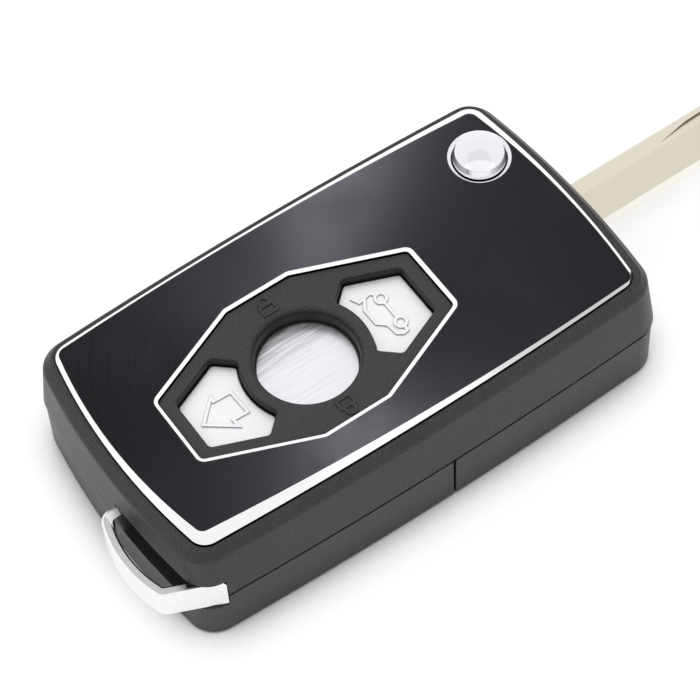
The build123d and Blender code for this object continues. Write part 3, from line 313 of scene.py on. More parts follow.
def make_handling_marks():
    """Faint smudges and a few hair scratches from handling."""
    group, given, result = new_tree(
        "Handling marks", "ShaderNodeTree", [("NodeSocketFloat", "Amount", 0.3)],
        [("NodeSocketFloat", "Mark")],
    )
    smudges_per_metre = 90.0
    scratches_per_metre = (900.0, 140.0, 500.0)
    # a hair scratch runs along the edges of cells, and its width is a share of a cell
    scratch_width = 0.012
    scratch_share = 0.35
    where = on_piece(group)
    cloud = noise(group, where, smudges_per_metre, detail=5.0, roughness=0.62)
    smudge = ranged(group, cloud, start=0.5, end=0.75)
    stretched = place(
        group, "ShaderNodeVectorMath", {0: where, 1: scratches_per_metre}, operation="MULTIPLY",
    ).outputs[0]
    hair = place(
        group, "ShaderNodeTexVoronoi", {"Vector": stretched, "Scale": 1.0}, feature="DISTANCE_TO_EDGE",
    ).outputs[0]
    scratch = ranged(group, hair, 0.0, scratch_width, low=1.0, high=0.0)
    both = sum_of(group, "ADD", smudge, sum_of(group, "MULTIPLY", scratch, scratch_share))
    group.links.new(sum_of(group, "MULTIPLY", both, given["Amount"]), result["Mark"])


def grouped(tree, name, inputs):
    """Puts a shared group into a material."""
    return place(tree, "ShaderNodeGroup", inputs, node_tree=bpy.data.node_groups[name]).outputs


def new_material(name, **constants):
    """A material with its principled shader, and that shader's plain values."""
    material = bpy.data.materials.new(name)
    material.use_nodes = True
    tree = material.node_tree
    shader = next(node for node in tree.nodes if node.type == "BSDF_PRINCIPLED")
    for label, value in constants.items():
        shader.inputs[label.replace("_", " ")].default_value = value
    return material, tree, shader


def feed(tree, shader, **sources):
    """Links what changes over the surface to the shader."""
    for label, source in sources.items():
        tree.links.new(source, shader.inputs[label.replace("_", " ")])


def bump(tree, shader, height, depth):
    """Feeds a height to the shader's normal. Depth is in metres."""
    bumped = place(tree, "ShaderNodeBump", {"Height": height, "Distance": depth, "Strength": 1.0})
    tree.links.new(bumped.outputs[0], shader.inputs["Normal"])


def grained_plastic(name, colour, roughness, depth, finish):
    """Moulded plastic with a fine grain."""
    material, tree, shader = new_material(name, IOR=1.48, Specular_IOR_Level=0.3)
    grain = grouped(
        tree, "Moulded grain",
        {"Grains per metre": 1.0 / finish.grain_size, "Colour": colour, "Roughness": roughness},
    )
    marks = grouped(tree, "Handling marks", {"Amount": 0.05})
    gloss = sum_of(tree, "SUBTRACT", grain["Roughness"], marks["Mark"])
    feed(tree, shader, Base_Color=grain["Colour"], Roughness=gloss)
    bump(tree, shader, grain["Height"], depth)
    return material


def surround_plastic(name, finish):
    """Grained black of the surround and the centre button, with painted shade down the walls of their holes.
    """
    colour = tuple(finish.surround_colour)
    wall_shade_share = 0.12
    material, tree, shader = new_material(name, IOR=1.48, Specular_IOR_Level=0.3)
    grain = grouped(
        tree, "Moulded grain",
        {"Grains per metre": 1.0 / finish.grain_size, "Colour": colour, "Roughness": 0.5},
    )
    # painted shade: the steeper a wall of a hole stands, the smaller the share of the colour it keeps
    unshaded_part = ranged(tree, facing_up(tree), start=0.3, end=0.97)
    shaded = mixed(tree, unshaded_part, toned(colour, wall_shade_share), grain["Colour"])
    feed(tree, shader, Base_Color=shaded, Roughness=grain["Roughness"])
    bump(tree, shader, grain["Height"], depth=0.02 * MM)
    return material


def spun_face(finish):
    """Black spun face of the plate, bright where its edges are cut."""
    material, tree, shader = new_material("Spun black face", Metallic=1.0)
    # the face lies flat and the plate's walls stand upright, so what slopes between is a cut edge
    flat_from = 0.993
    upright_to = 0.2
    groove_share = 1.5
    ring_depth = 0.0003 * MM
    turned_sheen = 0.75
    slope = facing_up(tree)
    cut = sum_of(
        tree, "MULTIPLY", sum_of(tree, "LESS_THAN", slope, flat_from),
        sum_of(tree, "GREATER_THAN", slope, upright_to),
    )
    rings = grouped(
        tree, "Spun rings",
        {
            "Centre X": emblem_centre.x, "Centre Y": emblem_centre.y,
            "Rings per metre": 1.0 / finish.ring_pitch,
        },
    )
    black = tuple(finish.plate_colour)
    face = mixed(tree, rings["Ring"], black, toned(black, groove_share))
    # painted reflection: the near cut edge is darker towards the blade end, standing in for the darker
    # surroundings that it mirrors there
    near_edge_y = -16.0 * MM
    reflection_shade_from, reflection_shade_to = -4.0 * MM, 20.0 * MM
    reflection_shade_share = 0.6
    spot = separated(tree, on_piece(tree))
    near = sum_of(tree, "LESS_THAN", spot["Y"], near_edge_y)
    along = ranged(tree, spot["X"], reflection_shade_from, reflection_shade_to)
    bright = tuple(finish.cut_colour)
    edge = mixed(tree, sum_of(tree, "MULTIPLY", near, along), bright, toned(bright, reflection_shade_share))
    marks = grouped(tree, "Handling marks", {"Amount": 0.05})
    satin = sum_of(tree, "ADD", marks["Mark"], scaled(tree, rings["Ring"], low=0.175, high=0.205))
    gloss = sum_of(tree, "MULTIPLY", satin, scaled(tree, cut, low=1.0, high=0.7))
    flat = sum_of(tree, "SUBTRACT", 1.0, cut)
    outward = place(
        tree, "ShaderNodeVectorMath", {0: from_centre(tree, emblem_centre.x, emblem_centre.y)},
        operation="NORMALIZE",
    ).outputs[0]
    feed(
        tree, shader, Base_Color=mixed(tree, cut, face, edge), Roughness=gloss,
        Anisotropic=sum_of(tree, "MULTIPLY", flat, turned_sheen), Tangent=outward,
    )
    bump(tree, shader, sum_of(tree, "MULTIPLY", rings["Ring"], flat), ring_depth)
    return material


def satin_silver(finish):
    """Sprayed satin silver of the two six-sided buttons, with painted shade on their walls and along the foot
    of their raised signs.
    """
    material, tree, shader = new_material("Satin silver", Metallic=0.55)
    colour = tuple(finish.button_colour)
    grain = grouped(
        tree, "Moulded grain", {"Grains per metre": 9000.0, "Colour": colour, "Roughness": 0.42},
    )
    # painted shade along the foot of the raised signs, where little light reaches, and on the walls
    sign_height = 0.18 * MM
    foot_reach = 1.3 * sign_height
    foot_shade_share = 0.66
    wall_shade_share = 0.4
    evenness = 0.8
    free = place(
        tree, "ShaderNodeAmbientOcclusion", {"Distance": foot_reach}, samples=16, only_local=True,
    ).outputs["AO"]
    past_foot = ranged(tree, free, start=0.62, end=0.94)
    grained = mixed(tree, evenness, grain["Colour"], colour)
    foot_shaded = mixed(tree, past_foot, toned(colour, foot_shade_share), grained)
    level = ranged(tree, facing_up(tree), start=0.1, end=0.9)
    wall_shaded = mixed(tree, level, toned(colour, wall_shade_share), foot_shaded)
    feed(tree, shader, Base_Color=wall_shaded, Roughness=grain["Roughness"])
    bump(tree, shader, grain["Height"], depth=0.006 * MM)
    return material


def brushed_disc(finish):
    """Bare disc, brushed along X; its brushed lines are darkened towards its far side as painted shade."""
    material, tree, shader = new_material("Brushed disc", Metallic=0.85)
    lines = grouped(
        tree, "Brushed lines", {"Lines per metre": 1.0 / finish.brush_pitch, "Length ratio": 0.02},
    )
    across = sum_of(tree, "SUBTRACT", separated(tree, on_piece(tree))["Y"], emblem_centre.y)
    # painted shade: the brushed lines grow darker towards the disc's far side
    far_shade_from, far_shade_to = 1.0 * MM, 6.4 * MM
    far_shade = ranged(tree, across, far_shade_from, far_shade_to)
    streak = ranged(tree, lines["Line"], 0.32, 0.6, low=1.0, high=0.0)
    depth = sum_of(tree, "MULTIPLY", streak, scaled(tree, far_shade, low=0.14, high=1.0))
    bright = tuple(finish.disc_colour)
    streak_share = 0.2
    feed(
        tree, shader, Base_Color=mixed(tree, depth, bright, toned(bright, streak_share)),
        Roughness=scaled(tree, lines["Band"], low=0.22, high=0.42),
    )
    bump(tree, shader, lines["Line"], depth=0.008 * MM)
    return material


def mirror_chrome():
    """Polished chrome of the release button, faintly rubbed."""
    material, tree, shader = new_material(
        "Polished chrome", Metallic=1.0, Base_Color=(0.83, 0.83, 0.86, 1.0),
    )
    polished_roughness = 0.1
    marks = grouped(tree, "Handling marks", {"Amount": 0.04})
    feed(tree, shader, Roughness=sum_of(tree, "ADD", marks["Mark"], polished_roughness))
    return material


def plated_metal(name, colour, roughness, depth, top_shade_share=1.0):
    """Plated metal with faint cloudy polish, and on its flat top painted shade that keeps a share of its
    colour.
    """
    material, tree, shader = new_material(name, Metallic=1.0)
    evenness = 0.93
    grain = grouped(
        tree, "Moulded grain", {"Grains per metre": 2400.0, "Colour": colour, "Roughness": roughness},
    )
    marks = grouped(tree, "Handling marks", {"Amount": 0.08})
    polish = mixed(tree, evenness, grain["Colour"], colour)
    # painted shade on the flat top
    if top_shade_share < 1.0:
        top = ranged(tree, facing_up(tree), start=0.75, end=0.95)
        polish = mixed(tree, top, polish, toned(colour, top_shade_share))
    feed(
        tree, shader, Base_Color=polish, Roughness=sum_of(tree, "ADD", grain["Roughness"], marks["Mark"]),
    )
    bump(tree, shader, grain["Height"], depth)
    return material


def plated_blade(finish):
    """Nickel-plated blade: lands milled lengthwise, the recessed one lighter, the edges polished, the walls
    of the track in painted shade.
    """
    material, tree, shader = new_material("Plated blade", Metallic=1.0)
    lines = grouped(tree, "Brushed lines", {"Lines per metre": 4200.0, "Length ratio": 0.02})
    marks = grouped(tree, "Handling marks", {"Amount": 0.12})
    spot = separated(tree, on_piece(tree))
    light = tuple(finish.blade_colour)
    land_depth = 0.1 * MM
    land_share = 0.93
    recess = sum_of(tree, "LESS_THAN", spot["Z"], blade_high[2] - land_depth)
    flat_part = mixed(tree, recess, toned(light, land_share), light)
    # upright faces are the polished outer edges and the walls of the track, which get painted shade
    polished_edge = (0.96, 0.94, 0.88, 1.0)
    track_wall_shade = (0.3, 0.27, 0.2, 1.0)
    half_width = (blade_high[1] - blade_low[1]) / 2
    edge_width = 0.3 * MM
    steep_under = 0.5
    upright = sum_of(tree, "LESS_THAN", absolute(tree, facing_up(tree)), steep_under)
    side = absolute(tree, sum_of(tree, "SUBTRACT", spot["Y"], blade_centre.y))
    outer = sum_of(tree, "GREATER_THAN", side, half_width - edge_width)
    wall = mixed(tree, outer, track_wall_shade, polished_edge)
    milled_share = 0.25
    milled = mixed(tree, lines["Line"], (0.78, 0.77, 0.74, 1.0), grey(1.0))
    # milled lines laid over the lands, the polished edges and the painted shade of the track walls
    milled_and_shaded = place(
        tree, "ShaderNodeMix", {0: milled_share, 6: mixed(tree, upright, flat_part, wall), 7: milled},
        data_type="RGBA", blend_type="MULTIPLY",
    ).outputs[2]
    gloss = sum_of(tree, "ADD", marks["Mark"], scaled(tree, lines["Line"], low=0.3, high=0.38))
    feed(tree, shader, Base_Color=milled_and_shaded, Roughness=gloss)
    bump(tree, shader, lines["Line"], depth=0.004 * MM)
    return material


def glue_resin():
    """Dark, uneven, glossy glue."""
    material, tree, shader = new_material("Glue", IOR=1.5)
    clouds_per_metre = 1500.0
    cloud = noise(tree, on_piece(tree), clouds_per_metre, detail=4.0)
    feed(
        tree, shader, Base_Color=mixed(tree, cloud, (0.01, 0.01, 0.012, 1.0), (0.1, 0.1, 0.11, 1.0)),
        Roughness=scaled(tree, cloud, low=0.12, high=0.4),
    )
    bump(tree, shader, cloud, depth=0.1 * MM)
    return material


def board_laminate():
    """Green solder mask over copper tracks, with tinned pads."""
    material, tree, shader = new_material("Board laminate", IOR=1.5)
    tracks_per_metre = 160.0
    pads_per_metre = 420.0
    pad_radius = 0.12
    where = on_piece(tree)
    tracks = place(
        tree, "ShaderNodeTexBrick",
        {
            "Vector": where, "Scale": tracks_per_metre, "Mortar Size": 0.03, "Color1": grey(1.0),
            "Color2": grey(1.0), "Mortar": grey(0.0), "Brick Width": 0.9, "Row Height": 0.22,
        },
    ).outputs["Color"]
    dots = place(
        tree, "ShaderNodeTexVoronoi", {"Vector": where, "Scale": pads_per_metre},
    ).outputs["Distance"]
    pad = sum_of(tree, "LESS_THAN", dots, pad_radius)
    mask = mixed(tree, tracks, (0.02, 0.16, 0.06, 1.0), (0.01, 0.09, 0.035, 1.0))
    feed(
        tree, shader, Base_Color=mixed(tree, pad, mask, (0.72, 0.7, 0.66, 1.0)), Metallic=pad,
        Roughness=scaled(tree, dots, low=0.2, high=0.42),
    )
    bump(tree, shader, tracks, depth=0.02 * MM)
    return material


def ringed_steel():
    """Coin cell steel, turned in rings."""
    material, tree, shader = new_material("Ringed steel", Metallic=1.0)
    ring = grouped(
        tree, "Spun rings",
        {"Centre X": cell_centre.x, "Centre Y": cell_centre.y, "Rings per metre": 3500.0},
    )["Ring"]
    feed(
        tree, shader, Base_Color=mixed(tree, ring, grey(0.5), (0.82, 0.82, 0.83, 1.0)),
        Roughness=scaled(tree, ring, low=0.18, high=0.4),
    )
    bump(tree, shader, ring, depth=0.01 * MM)
    return material


def leaded_chip():
    """Black chip body with tinned legs beside it."""
    material, tree, shader = new_material("Leaded chip")
    chip_low, chip_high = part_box("control_chip")
    leg_length = 0.78 * MM
    middle = middle_of(chip_low, chip_high).y
    reach = absolute(tree, sum_of(tree, "SUBTRACT", separated(tree, on_piece(tree))["Y"], middle))
    leg = sum_of(tree, "GREATER_THAN", reach, chip_high[1] - middle - leg_length)
    grain = grouped(
        tree, "Moulded grain", {"Grains per metre": 7000.0, "Colour": grey(0.015), "Roughness": 0.55},
    )
    feed(
        tree, shader, Base_Color=mixed(tree, leg, grain["Colour"], TIN), Metallic=leg,
        Roughness=scaled(tree, leg, low=0.55, high=0.28),
    )
    bump(tree, shader, grain["Height"], depth=0.01 * MM)
    return material


def capsule_glass():
    """Thin greenish glass with the coil dimly inside."""
    material, tree, shader = new_material("Capsule glass", IOR=1.5, Transmission_Weight=0.6)
    line = grouped(tree, "Brushed lines", {"Lines per metre": 5200.0, "Length ratio": 1.0})["Line"]
    feed(
        tree, shader, Base_Color=mixed(tree, line, (0.5, 0.3, 0.16, 1.0), (0.8, 0.86, 0.84, 1.0)),
        Roughness=scaled(tree, line, low=0.04, high=0.12),
    )
    return material


def copper_wire():
    """Enamelled copper."""
    material, tree, shader = new_material("Copper wire", Metallic=0.9, Coat_Weight=0.5, Coat_Roughness=0.1)
    grain = grouped(
        tree, "Moulded grain",
        {"Grains per metre": 3000.0, "Colour": (0.7, 0.3, 0.12, 1.0), "Roughness": 0.28},
    )
    feed(tree, shader, Base_Color=grain["Colour"], Roughness=grain["Roughness"])
    return material


def paint(material, *names):
    """Gives CAD nodes a finish."""
    for name in names:
        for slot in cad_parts[name].material_slots:
            slot.material = material


def new_geometry_tree(name, inputs):
    """An empty geometry tree with its material, centre and further inputs, given as (type, name, default)."""
    return new_tree(
        name, "GeometryNodeTree",
        [
            ("NodeSocketMaterial", "Material", None), ("NodeSocketVector", "Centre", (0.0, 0.0, 0.0)),
            *inputs,
        ],
        [("NodeSocketGeometry", "Geometry")],
    )


def finish_tree(tree, given, result, geometry, centre):
    """Ends a tree: its geometry moved to its centre, smooth, realised and with the material."""
    moved = place(tree, "GeometryNodeTransform", {"Geometry": geometry, "Translation": centre}).outputs[0]
    smooth = place(tree, "GeometryNodeSetShadeSmooth", {"Geometry": moved}).outputs[0]
    realised = place(tree, "GeometryNodeRealizeInstances", {0: smooth}).outputs[0]
    painted = place(
        tree, "GeometryNodeSetMaterial", {"Geometry": realised, "Material": given["Material"]},
    ).outputs[0]
    tree.links.new(painted, result["Geometry"])


def circle(tree, sides, radius):
    """A circle in straight stretches."""
    return place(tree, "GeometryNodeCurvePrimitiveCircle", {"Resolution": sides, "Radius": radius}).outputs[0]


def built_piece(name, tree, values):
    """Runs a geometry tree and keeps its result as a plain mesh."""
    carrier = bpy.data.objects.new(name + "_carrier", bpy.data.meshes.new(name + "_carrier"))
    bpy.context.scene.collection.objects.link(carrier)
    modifier = carrier.modifiers.new("Tree", "NODES")
    modifier.node_group = tree
    for item in tree.interface.items_tree:
        if item.in_out == "INPUT" and item.name in values:
            modifier[item.identifier] = values[item.name]
    bpy.context.view_layer.update()
    evaluated = carrier.evaluated_get(bpy.context.evaluated_depsgraph_get())
    mesh = bpy.data.meshes.new_from_object(evaluated)
    mesh.name = name
    bpy.data.objects.remove(carrier)
    piece = bpy.data.objects.new(name, mesh)
    bpy.context.scene.collection.objects.link(piece)
    return piece


def make_glue_tree():
    """A lumpy bead that follows a circle."""
    tree, given, result = new_geometry_tree(
        "Glue bead",
        [
            ("NodeSocketFloat", "Ring radius", 6.2 * MM), ("NodeSocketFloat", "Bead radius", 0.2 * MM),
            ("NodeSocketInt", "Seed", 7),
        ],
    )
    lumps_per_metre = 900.0
    where = place(tree, "GeometryNodeInputPosition").outputs[0]
    lumps = place(
        tree, "ShaderNodeTexNoise",
        {"Vector": where, "W": given["Seed"], "Scale": lumps_per_metre, "Detail": 3.0}, noise_dimensions="4D",
    ).outputs[0]
    thickness = ranged(tree, lumps, 0.3, 0.7, low=0.5, high=1.35)
    ring = place(
        tree, "GeometryNodeSetCurveRadius",
        {"Curve": circle(tree, sides=180, radius=given["Ring radius"]), "Radius": thickness},
    ).outputs[0]
    profile = circle(tree, sides=10, radius=given["Bead radius"])
    bead = place(
        tree, "GeometryNodeCurveToMesh", {"Curve": ring, "Profile Curve": profile, "Scale": thickness},
    ).outputs[0]
    finish_tree(tree, given, result, bead, given["Centre"])
    return tree


def make_winding_tree():
    """Turns of wire laid side by side round a square core."""
    tree, given, result = new_geometry_tree(
        "Coil winding",
        [
            ("NodeSocketInt", "Turns", 36), ("NodeSocketFloat", "Wire radius", 0.09 * MM),
            ("NodeSocketFloat", "Side", 2.5 * MM), ("NodeSocketFloat", "Length", 7.0 * MM),
        ],
    )
    corner_radius = 0.5 * MM
    square = place(
        tree, "GeometryNodeCurvePrimitiveQuadrilateral", {"Width": given["Side"], "Height": given["Side"]},
    ).outputs[0]
    rounded = place(
        tree, "GeometryNodeFilletCurve", {"Curve": square, "Count": 4, "Radius": corner_radius}, mode="POLY",
    ).outputs[0]
    wire = circle(tree, sides=6, radius=given["Wire radius"])
    turn = place(tree, "GeometryNodeCurveToMesh", {"Curve": rounded, "Profile Curve": wire}).outputs[0]
    upright = place(
        tree, "GeometryNodeTransform", {"Geometry": turn, "Rotation": (0.0, radians(90.0), 0.0)},
    ).outputs[0]
    pitch = sum_of(tree, "DIVIDE", given["Length"], given["Turns"])
    offset = place(tree, "ShaderNodeCombineXYZ", {"X": pitch}).outputs[0]
    row = place(tree, "GeometryNodeMeshLine", {"Count": given["Turns"], "Offset": offset}).outputs[0]
    laid = place(tree, "GeometryNodeInstanceOnPoints", {"Points": row, "Instance": upright}).outputs[0]
    # the row starts at its first turn, so it moves back by half its length
    back = place(
        tree, "ShaderNodeCombineXYZ", {"X": sum_of(tree, "MULTIPLY", given["Length"], -0.5)},
    ).outputs[0]
    start = place(tree, "ShaderNodeVectorMath", {0: given["Centre"], 1: back}).outputs[0]
    finish_tree(tree, given, result, laid, start)
    return tree


class FLIPKEY_OT_groups(bpy.types.Operator):
    """Builds the effects that several finishes share"""

    bl_idname = "flipkey.groups"
    bl_label = "Shared effects"

    def execute(self, context):
        make_moulded_grain()
        make_brushed_lines()
        make_spun_rings()
        make_handling_marks()
        return {"FINISHED"}


class FLIPKEY_OT_case(bpy.types.Operator):
    """Finishes the three mouldings of the case"""

    bl_idname = "flipkey.case"
    bl_label = "Case mouldings"

    def execute(self, context):
        finish = context.scene.flipkey_finish
        colour = tuple(finish.case_colour)
        plastic = grained_plastic("Grained black", colour, roughness=0.42, depth=0.035 * MM, finish=finish)
        paint(plastic, "front_shell", "rear_shell", "battery_cover")
        return {"FINISHED"}


class FLIPKEY_OT_face(bpy.types.Operator):
    """Finishes the face plate and the surround of the buttons"""

    bl_idname = "flipkey.face"
    bl_label = "Face plate and surround"

    def execute(self, context):
        finish = context.scene.flipkey_finish
        paint(spun_face(finish), "face_plate")
        paint(surround_plastic("Matte surround", finish), "button_bezel")
        return {"FINISHED"}


class FLIPKEY_OT_buttons(bpy.types.Operator):
    """Finishes the buttons, the centre disc and its bead of glue"""

    bl_idname = "flipkey.buttons"
    bl_label = "Buttons"

    def execute(self, context):
        finish = context.scene.flipkey_finish
        paint(satin_silver(finish), "unlock_button", "boot_button")
        paint(mirror_chrome(), "release_button")
        paint(brushed_disc(finish), "emblem_disc")
        paint(surround_plastic("Centre button", finish), "lock_button")
        glue_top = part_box("disc_glue")[1][2]
        disc_radius = (emblem_high[0] - emblem_low[0]) / 2
        bead_gap = 0.1 * MM
        bead = built_piece(
            "glue_bead", make_glue_tree(),
            {
                "Material": glue_resin(), "Ring radius": disc_radius + bead_gap,
                "Bead radius": finish.bead_radius, "Centre": (emblem_centre.x, emblem_centre.y, glue_top),
            },
        )
        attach(bead, "lock")
        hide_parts("disc_glue")
        return {"FINISHED"}


class FLIPKEY_OT_loop(bpy.types.Operator):
    """Finishes the metal loop for the key ring"""

    bl_idname = "flipkey.loop"
    bl_label = "Key loop"

    def execute(self, context):
        # the loop's flat top gets painted shade
        chrome = plated_metal(
            "Satin chrome", (0.88, 0.89, 0.9, 1.0), roughness=0.24, depth=0.002 * MM, top_shade_share=0.66,
        )
        paint(chrome, "key_loop")
        return {"FINISHED"}


class FLIPKEY_OT_blade(bpy.types.Operator):
    """Finishes the blade, its turning head, pin and spring"""

    bl_idname = "flipkey.blade"
    bl_label = "Blade and head"

    def execute(self, context):
        paint(plated_blade(context.scene.flipkey_finish), "key_blade")
        zinc = plated_metal("Cast zinc", (0.3, 0.3, 0.31, 1.0), roughness=0.45, depth=0.012 * MM)
        paint(zinc, "blade_hub")
        steel = plated_metal("Bright steel", (0.6, 0.6, 0.62, 1.0), roughness=0.25, depth=0.003 * MM)
        paint(steel, "blade_pin", "flip_spring", "case_screws")
        return {"FINISHED"}


class FLIPKEY_OT_inside(bpy.types.Operator):
    """Finishes the electronics and winds the aerial coil"""

    bl_idname = "flipkey.inside"
    bl_label = "Inside"

    def execute(self, context):
        finish = context.scene.flipkey_finish
        paint(board_laminate(), "circuit_board")
        paint(leaded_chip(), "control_chip")
        paint(ringed_steel(), "coin_cell")
        tin = plated_metal("Tinned strip", TIN, roughness=0.3, depth=0.004 * MM)
        paint(tin, "cell_clip", "cell_spring", "crystal", "tact_switches")
        for name, colour, roughness, node in (
            ("Pad rubber", (0.06, 0.06, 0.065, 1.0), 0.7, "button_pad"),
            ("Ferrite", (0.03, 0.03, 0.034, 1.0), 0.5, "antenna_coil"),
        ):
            paint(grained_plastic(name, colour, roughness, depth=0.02 * MM, finish=finish), node)
        paint(capsule_glass(), "transponder")
        winding = built_piece(
            "coil_winding", make_winding_tree(),
            {
                "Material": copper_wire(), "Turns": finish.coil_turns, "Wire radius": finish.wire_radius,
                "Centre": tuple(coil_centre),
            },
        )
        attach(winding, "case")
        return {"FINISHED"}


def area_lamp(name, place_at, size, power):
    """A round soft lamp, aimed at the key."""
    data = bpy.data.lights.new(name, "AREA")
    data.shape = "DISK"
    data.size = size
    data.energy = power
    lamp = bpy.data.objects.new(name, data)
    lamp.location = place_at
    lamp.rotation_euler = (-Vector(place_at)).to_track_quat("-Z", "Y").to_euler()
    bpy.context.scene.collection.objects.link(lamp)
    return lamp


class FLIPKEY_OT_stage(bpy.types.Operator):
    """Lays the floor, hangs the lamps and sets the camera"""

    bl_idname = "flipkey.stage"
    bl_label = "Stage"

    def execute(self, context):
        stage = context.scene.flipkey_stage
        self.lay_floor(stage)
        self.surround(context, stage)
        self.hang_lamps(stage)
        self.set_camera(context, stage)
        context.scene.view_settings.view_transform = "Standard"
        return {"FINISHED"}

    def lay_floor(self, stage):
        """A wide pale floor under the key."""
        half_side = 1.5
        sink = 0.02 * MM
        corners = [(x * half_side, y * half_side, -sink) for x, y in ((-1, -1), (1, -1), (1, 1), (-1, 1))]
        mesh = bpy.data.meshes.new("floor")
        mesh.from_pydata(corners, [], [(0, 1, 2, 3)])
        floor = bpy.data.objects.new("floor", mesh)
        bpy.context.scene.collection.objects.link(floor)
        material, tree, shader = new_material(
            "Table top", Roughness=0.8, Specular_IOR_Level=0.1, Emission_Color=grey(1.0),
        )
        pale = tuple(stage.floor_colour)
        mottles_per_metre = 40.0
        mottle_share = 0.985
        mottle = noise(tree, on_piece(tree), mottles_per_metre, detail=3.0)
        # the glare of the table top, with a painted contact shadow: the glare fades where the key stands
        # close above it
        free = place(
            tree, "ShaderNodeAmbientOcclusion", {"Distance": stage.contact_reach}, samples=8,
        ).outputs["AO"]
        falloff = 0.4
        unshaded_part = sum_of(tree, "POWER", ranged(tree, free, start=0.48, end=0.98), falloff)
        path = place(tree, "ShaderNodeLightPath").outputs
        seen = sum_of(tree, "MAXIMUM", path["Is Camera Ray"], path["Is Glossy Ray"])
        glare = sum_of(tree, "MULTIPLY", seen, sum_of(tree, "MULTIPLY", unshaded_part, stage.glare))
        # a view from beneath passes through the floor, and so does the light on the back that rests on it
        beneath = place(tree, "ShaderNodeNewGeometry").outputs["Backfacing"]
        touching_within = 0.2 * MM
        touching = sum_of(tree, "LESS_THAN", path["Ray Length"], touching_within)
        solid = sum_of(tree, "SUBTRACT", 1.0, sum_of(tree, "MAXIMUM", beneath, touching))
        feed(
            tree, shader, Base_Color=mixed(tree, mottle, toned(pale, mottle_share), pale),
            Emission_Strength=glare, Alpha=solid,
        )
        mesh.materials.append(material)

    def surround(self, context, stage):
        """Light from all round, white to the camera and with levels of its own where metal mirrors it."""
        world = bpy.data.worlds.new("Surroundings")
        world.use_nodes = True
        context.scene.world = world
        tree = world.node_tree
        background = next(node for node in tree.nodes if node.type == "BACKGROUND")
        path = place(tree, "ShaderNodeLightPath").outputs
        seen = sum_of(tree, "MAXIMUM", path["Is Camera Ray"], path["Is Transmission Ray"])
        # what metal mirrors, from the horizon at 0 to straight overhead at 1: bright up to the height
        # that the photograph's flat metal mirrors, and dimmer above it
        height = separated(tree, place(tree, "ShaderNodeTexCoord").outputs["Generated"])["Z"]
        ramp = place(tree, "ShaderNodeValToRGB", {0: height})
        points = ramp.color_ramp.elements
        points[0].color = grey(1.1)
        points[-1].position = 0.97
        points[-1].color = grey(0.93)
        points.new(0.5).color = grey(1.05)
        points.new(0.85).color = grey(stage.mirror_level)
        points.new(0.92).color = (0.9, 0.9, 0.91, 1.0)
        around = mixed(tree, path["Is Glossy Ray"], grey(stage.sky_level), ramp.outputs[0])
        tree.links.new(mixed(tree, seen, around, grey(1.0)), background.inputs["Color"])

    def hang_lamps(self, stage):
        """Soft lamps, a long one overhead that only metal mirrors, and small ones for the spun face."""
        for name, place_at, size, power in (
            ("back_lamp", (0.1, 0.5, 0.6), 0.6, stage.lamp_power),
            ("left_lamp", (-0.55, -0.1, 0.55), 0.6, stage.lamp_power),
            ("right_lamp", (0.55, -0.45, 0.32), 0.3, stage.lamp_power / 3),
        ):
            area_lamp(name, place_at, size, power).visible_glossy = False
        top_length, top_width = 1.2, 0.42
        top_lamp = area_lamp("top_lamp", (-0.1, -0.16, 0.68), top_length, stage.top_power)
        top_lamp.data.shape = "ELLIPSE"
        top_lamp.data.size_y = top_width
        top_lamp.visible_diffuse = False
        spun = bpy.data.collections.new("Spun face only")
        spun.objects.link(bpy.data.objects["face_plate"])
        sheen_size = 0.06
        for name, place_at in (("far_sheen", (0.231, 0.373, 0.56)), ("near_sheen", (0.18, 0.268, 0.637))):
            sheen = area_lamp(name, place_at, sheen_size, stage.sheen_power)
            sheen.visible_diffuse = False
            sheen.light_linking.receiver_collection = spun

    def set_camera(self, context, stage):
        """Camera at the photograph's angle."""
        flat = cos(stage.elevation)
        ahead = Vector((flat * cos(stage.azimuth), flat * sin(stage.azimuth), -sin(stage.elevation)))
        level_right = ahead.cross(Vector((0.0, 0.0, 1.0))).normalized()
        level_up = level_right.cross(ahead)
        right = level_right * cos(stage.roll) + level_up * sin(stage.roll)
        up = level_up * cos(stage.roll) - level_right * sin(stage.roll)
        # the point of the key that lies in the middle of the photograph
        middle = Vector((-2.58, -4.72, 19.0)) * MM
        data = bpy.data.cameras.new("camera")
        data.lens = stage.lens
        data.sensor_width = 36.0
        data.clip_start = 10.0 * MM
        camera = bpy.data.objects.new("camera", data)
        turn = Matrix((right, up, -ahead)).transposed()
        camera.matrix_world = Matrix.Translation(middle - ahead * stage.distance) @ turn.to_4x4()
        context.scene.collection.objects.link(camera)
        context.scene.camera = camera


class FLIPKEY_PT_panel(bpy.types.Panel):
    """Lists the pieces and their values"""

    bl_idname = "FLIPKEY_PT_panel"
    bl_label = "Flip key"
    bl_space_type = "VIEW_3D"
    bl_region_type = "UI"
    bl_category = "Flip key"

    def draw(self, context):
        layout = self.layout
        for operator in OPERATORS:
            layout.operator(operator.bl_idname)
        for group in (context.scene.flipkey_finish, context.scene.flipkey_stage):
            box = layout.box()
            for name in group.__annotations__:
                box.prop(group, name)


OPERATORS = (
    FLIPKEY_OT_groups, FLIPKEY_OT_case, FLIPKEY_OT_face, FLIPKEY_OT_buttons, FLIPKEY_OT_loop,
    FLIPKEY_OT_blade, FLIPKEY_OT_inside, FLIPKEY_OT_stage,
)
CLASSES = (FlipKeyFinish, FlipKeyStage) + OPERATORS + (FLIPKEY_PT_panel,)


def register():
    """Adds the classes and their values to Blender."""
    for kind in CLASSES:
        bpy.utils.register_class(kind)
    bpy.types.Scene.flipkey_finish = bpy.props.PointerProperty(type=FlipKeyFinish)
    bpy.types.Scene.flipkey_stage = bpy.props.PointerProperty(type=FlipKeyStage)


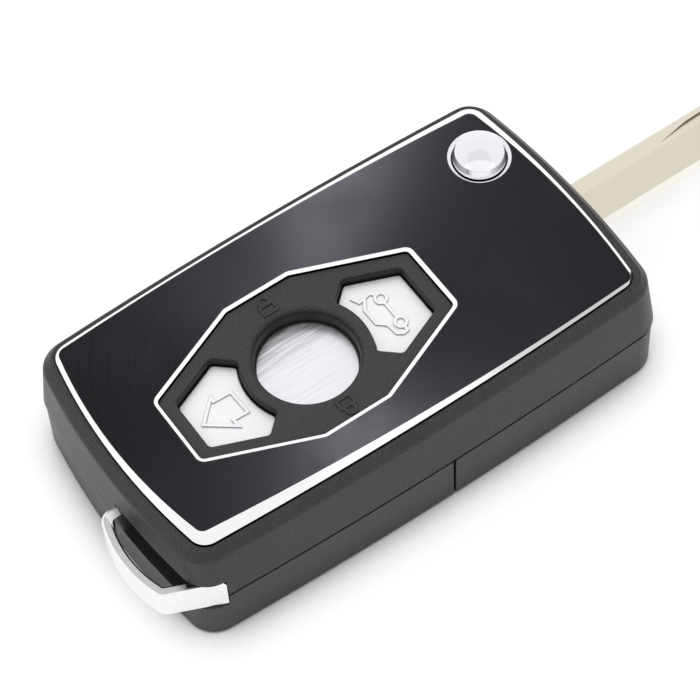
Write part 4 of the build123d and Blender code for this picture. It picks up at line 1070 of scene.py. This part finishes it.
def unregister():
    """Takes them out again."""
    del bpy.types.Scene.flipkey_finish
    del bpy.types.Scene.flipkey_stage
    for kind in reversed(CLASSES):
        bpy.utils.unregister_class(kind)


def main():
    """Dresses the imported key."""
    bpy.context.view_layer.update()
    register()
    bpy.ops.flipkey.groups()
    bpy.ops.flipkey.case()
    bpy.ops.flipkey.face()
    bpy.ops.flipkey.buttons()
    bpy.ops.flipkey.loop()
    bpy.ops.flipkey.blade()
    bpy.ops.flipkey.inside()
    bpy.ops.flipkey.stage()


if __name__ == "__main__":
    main()
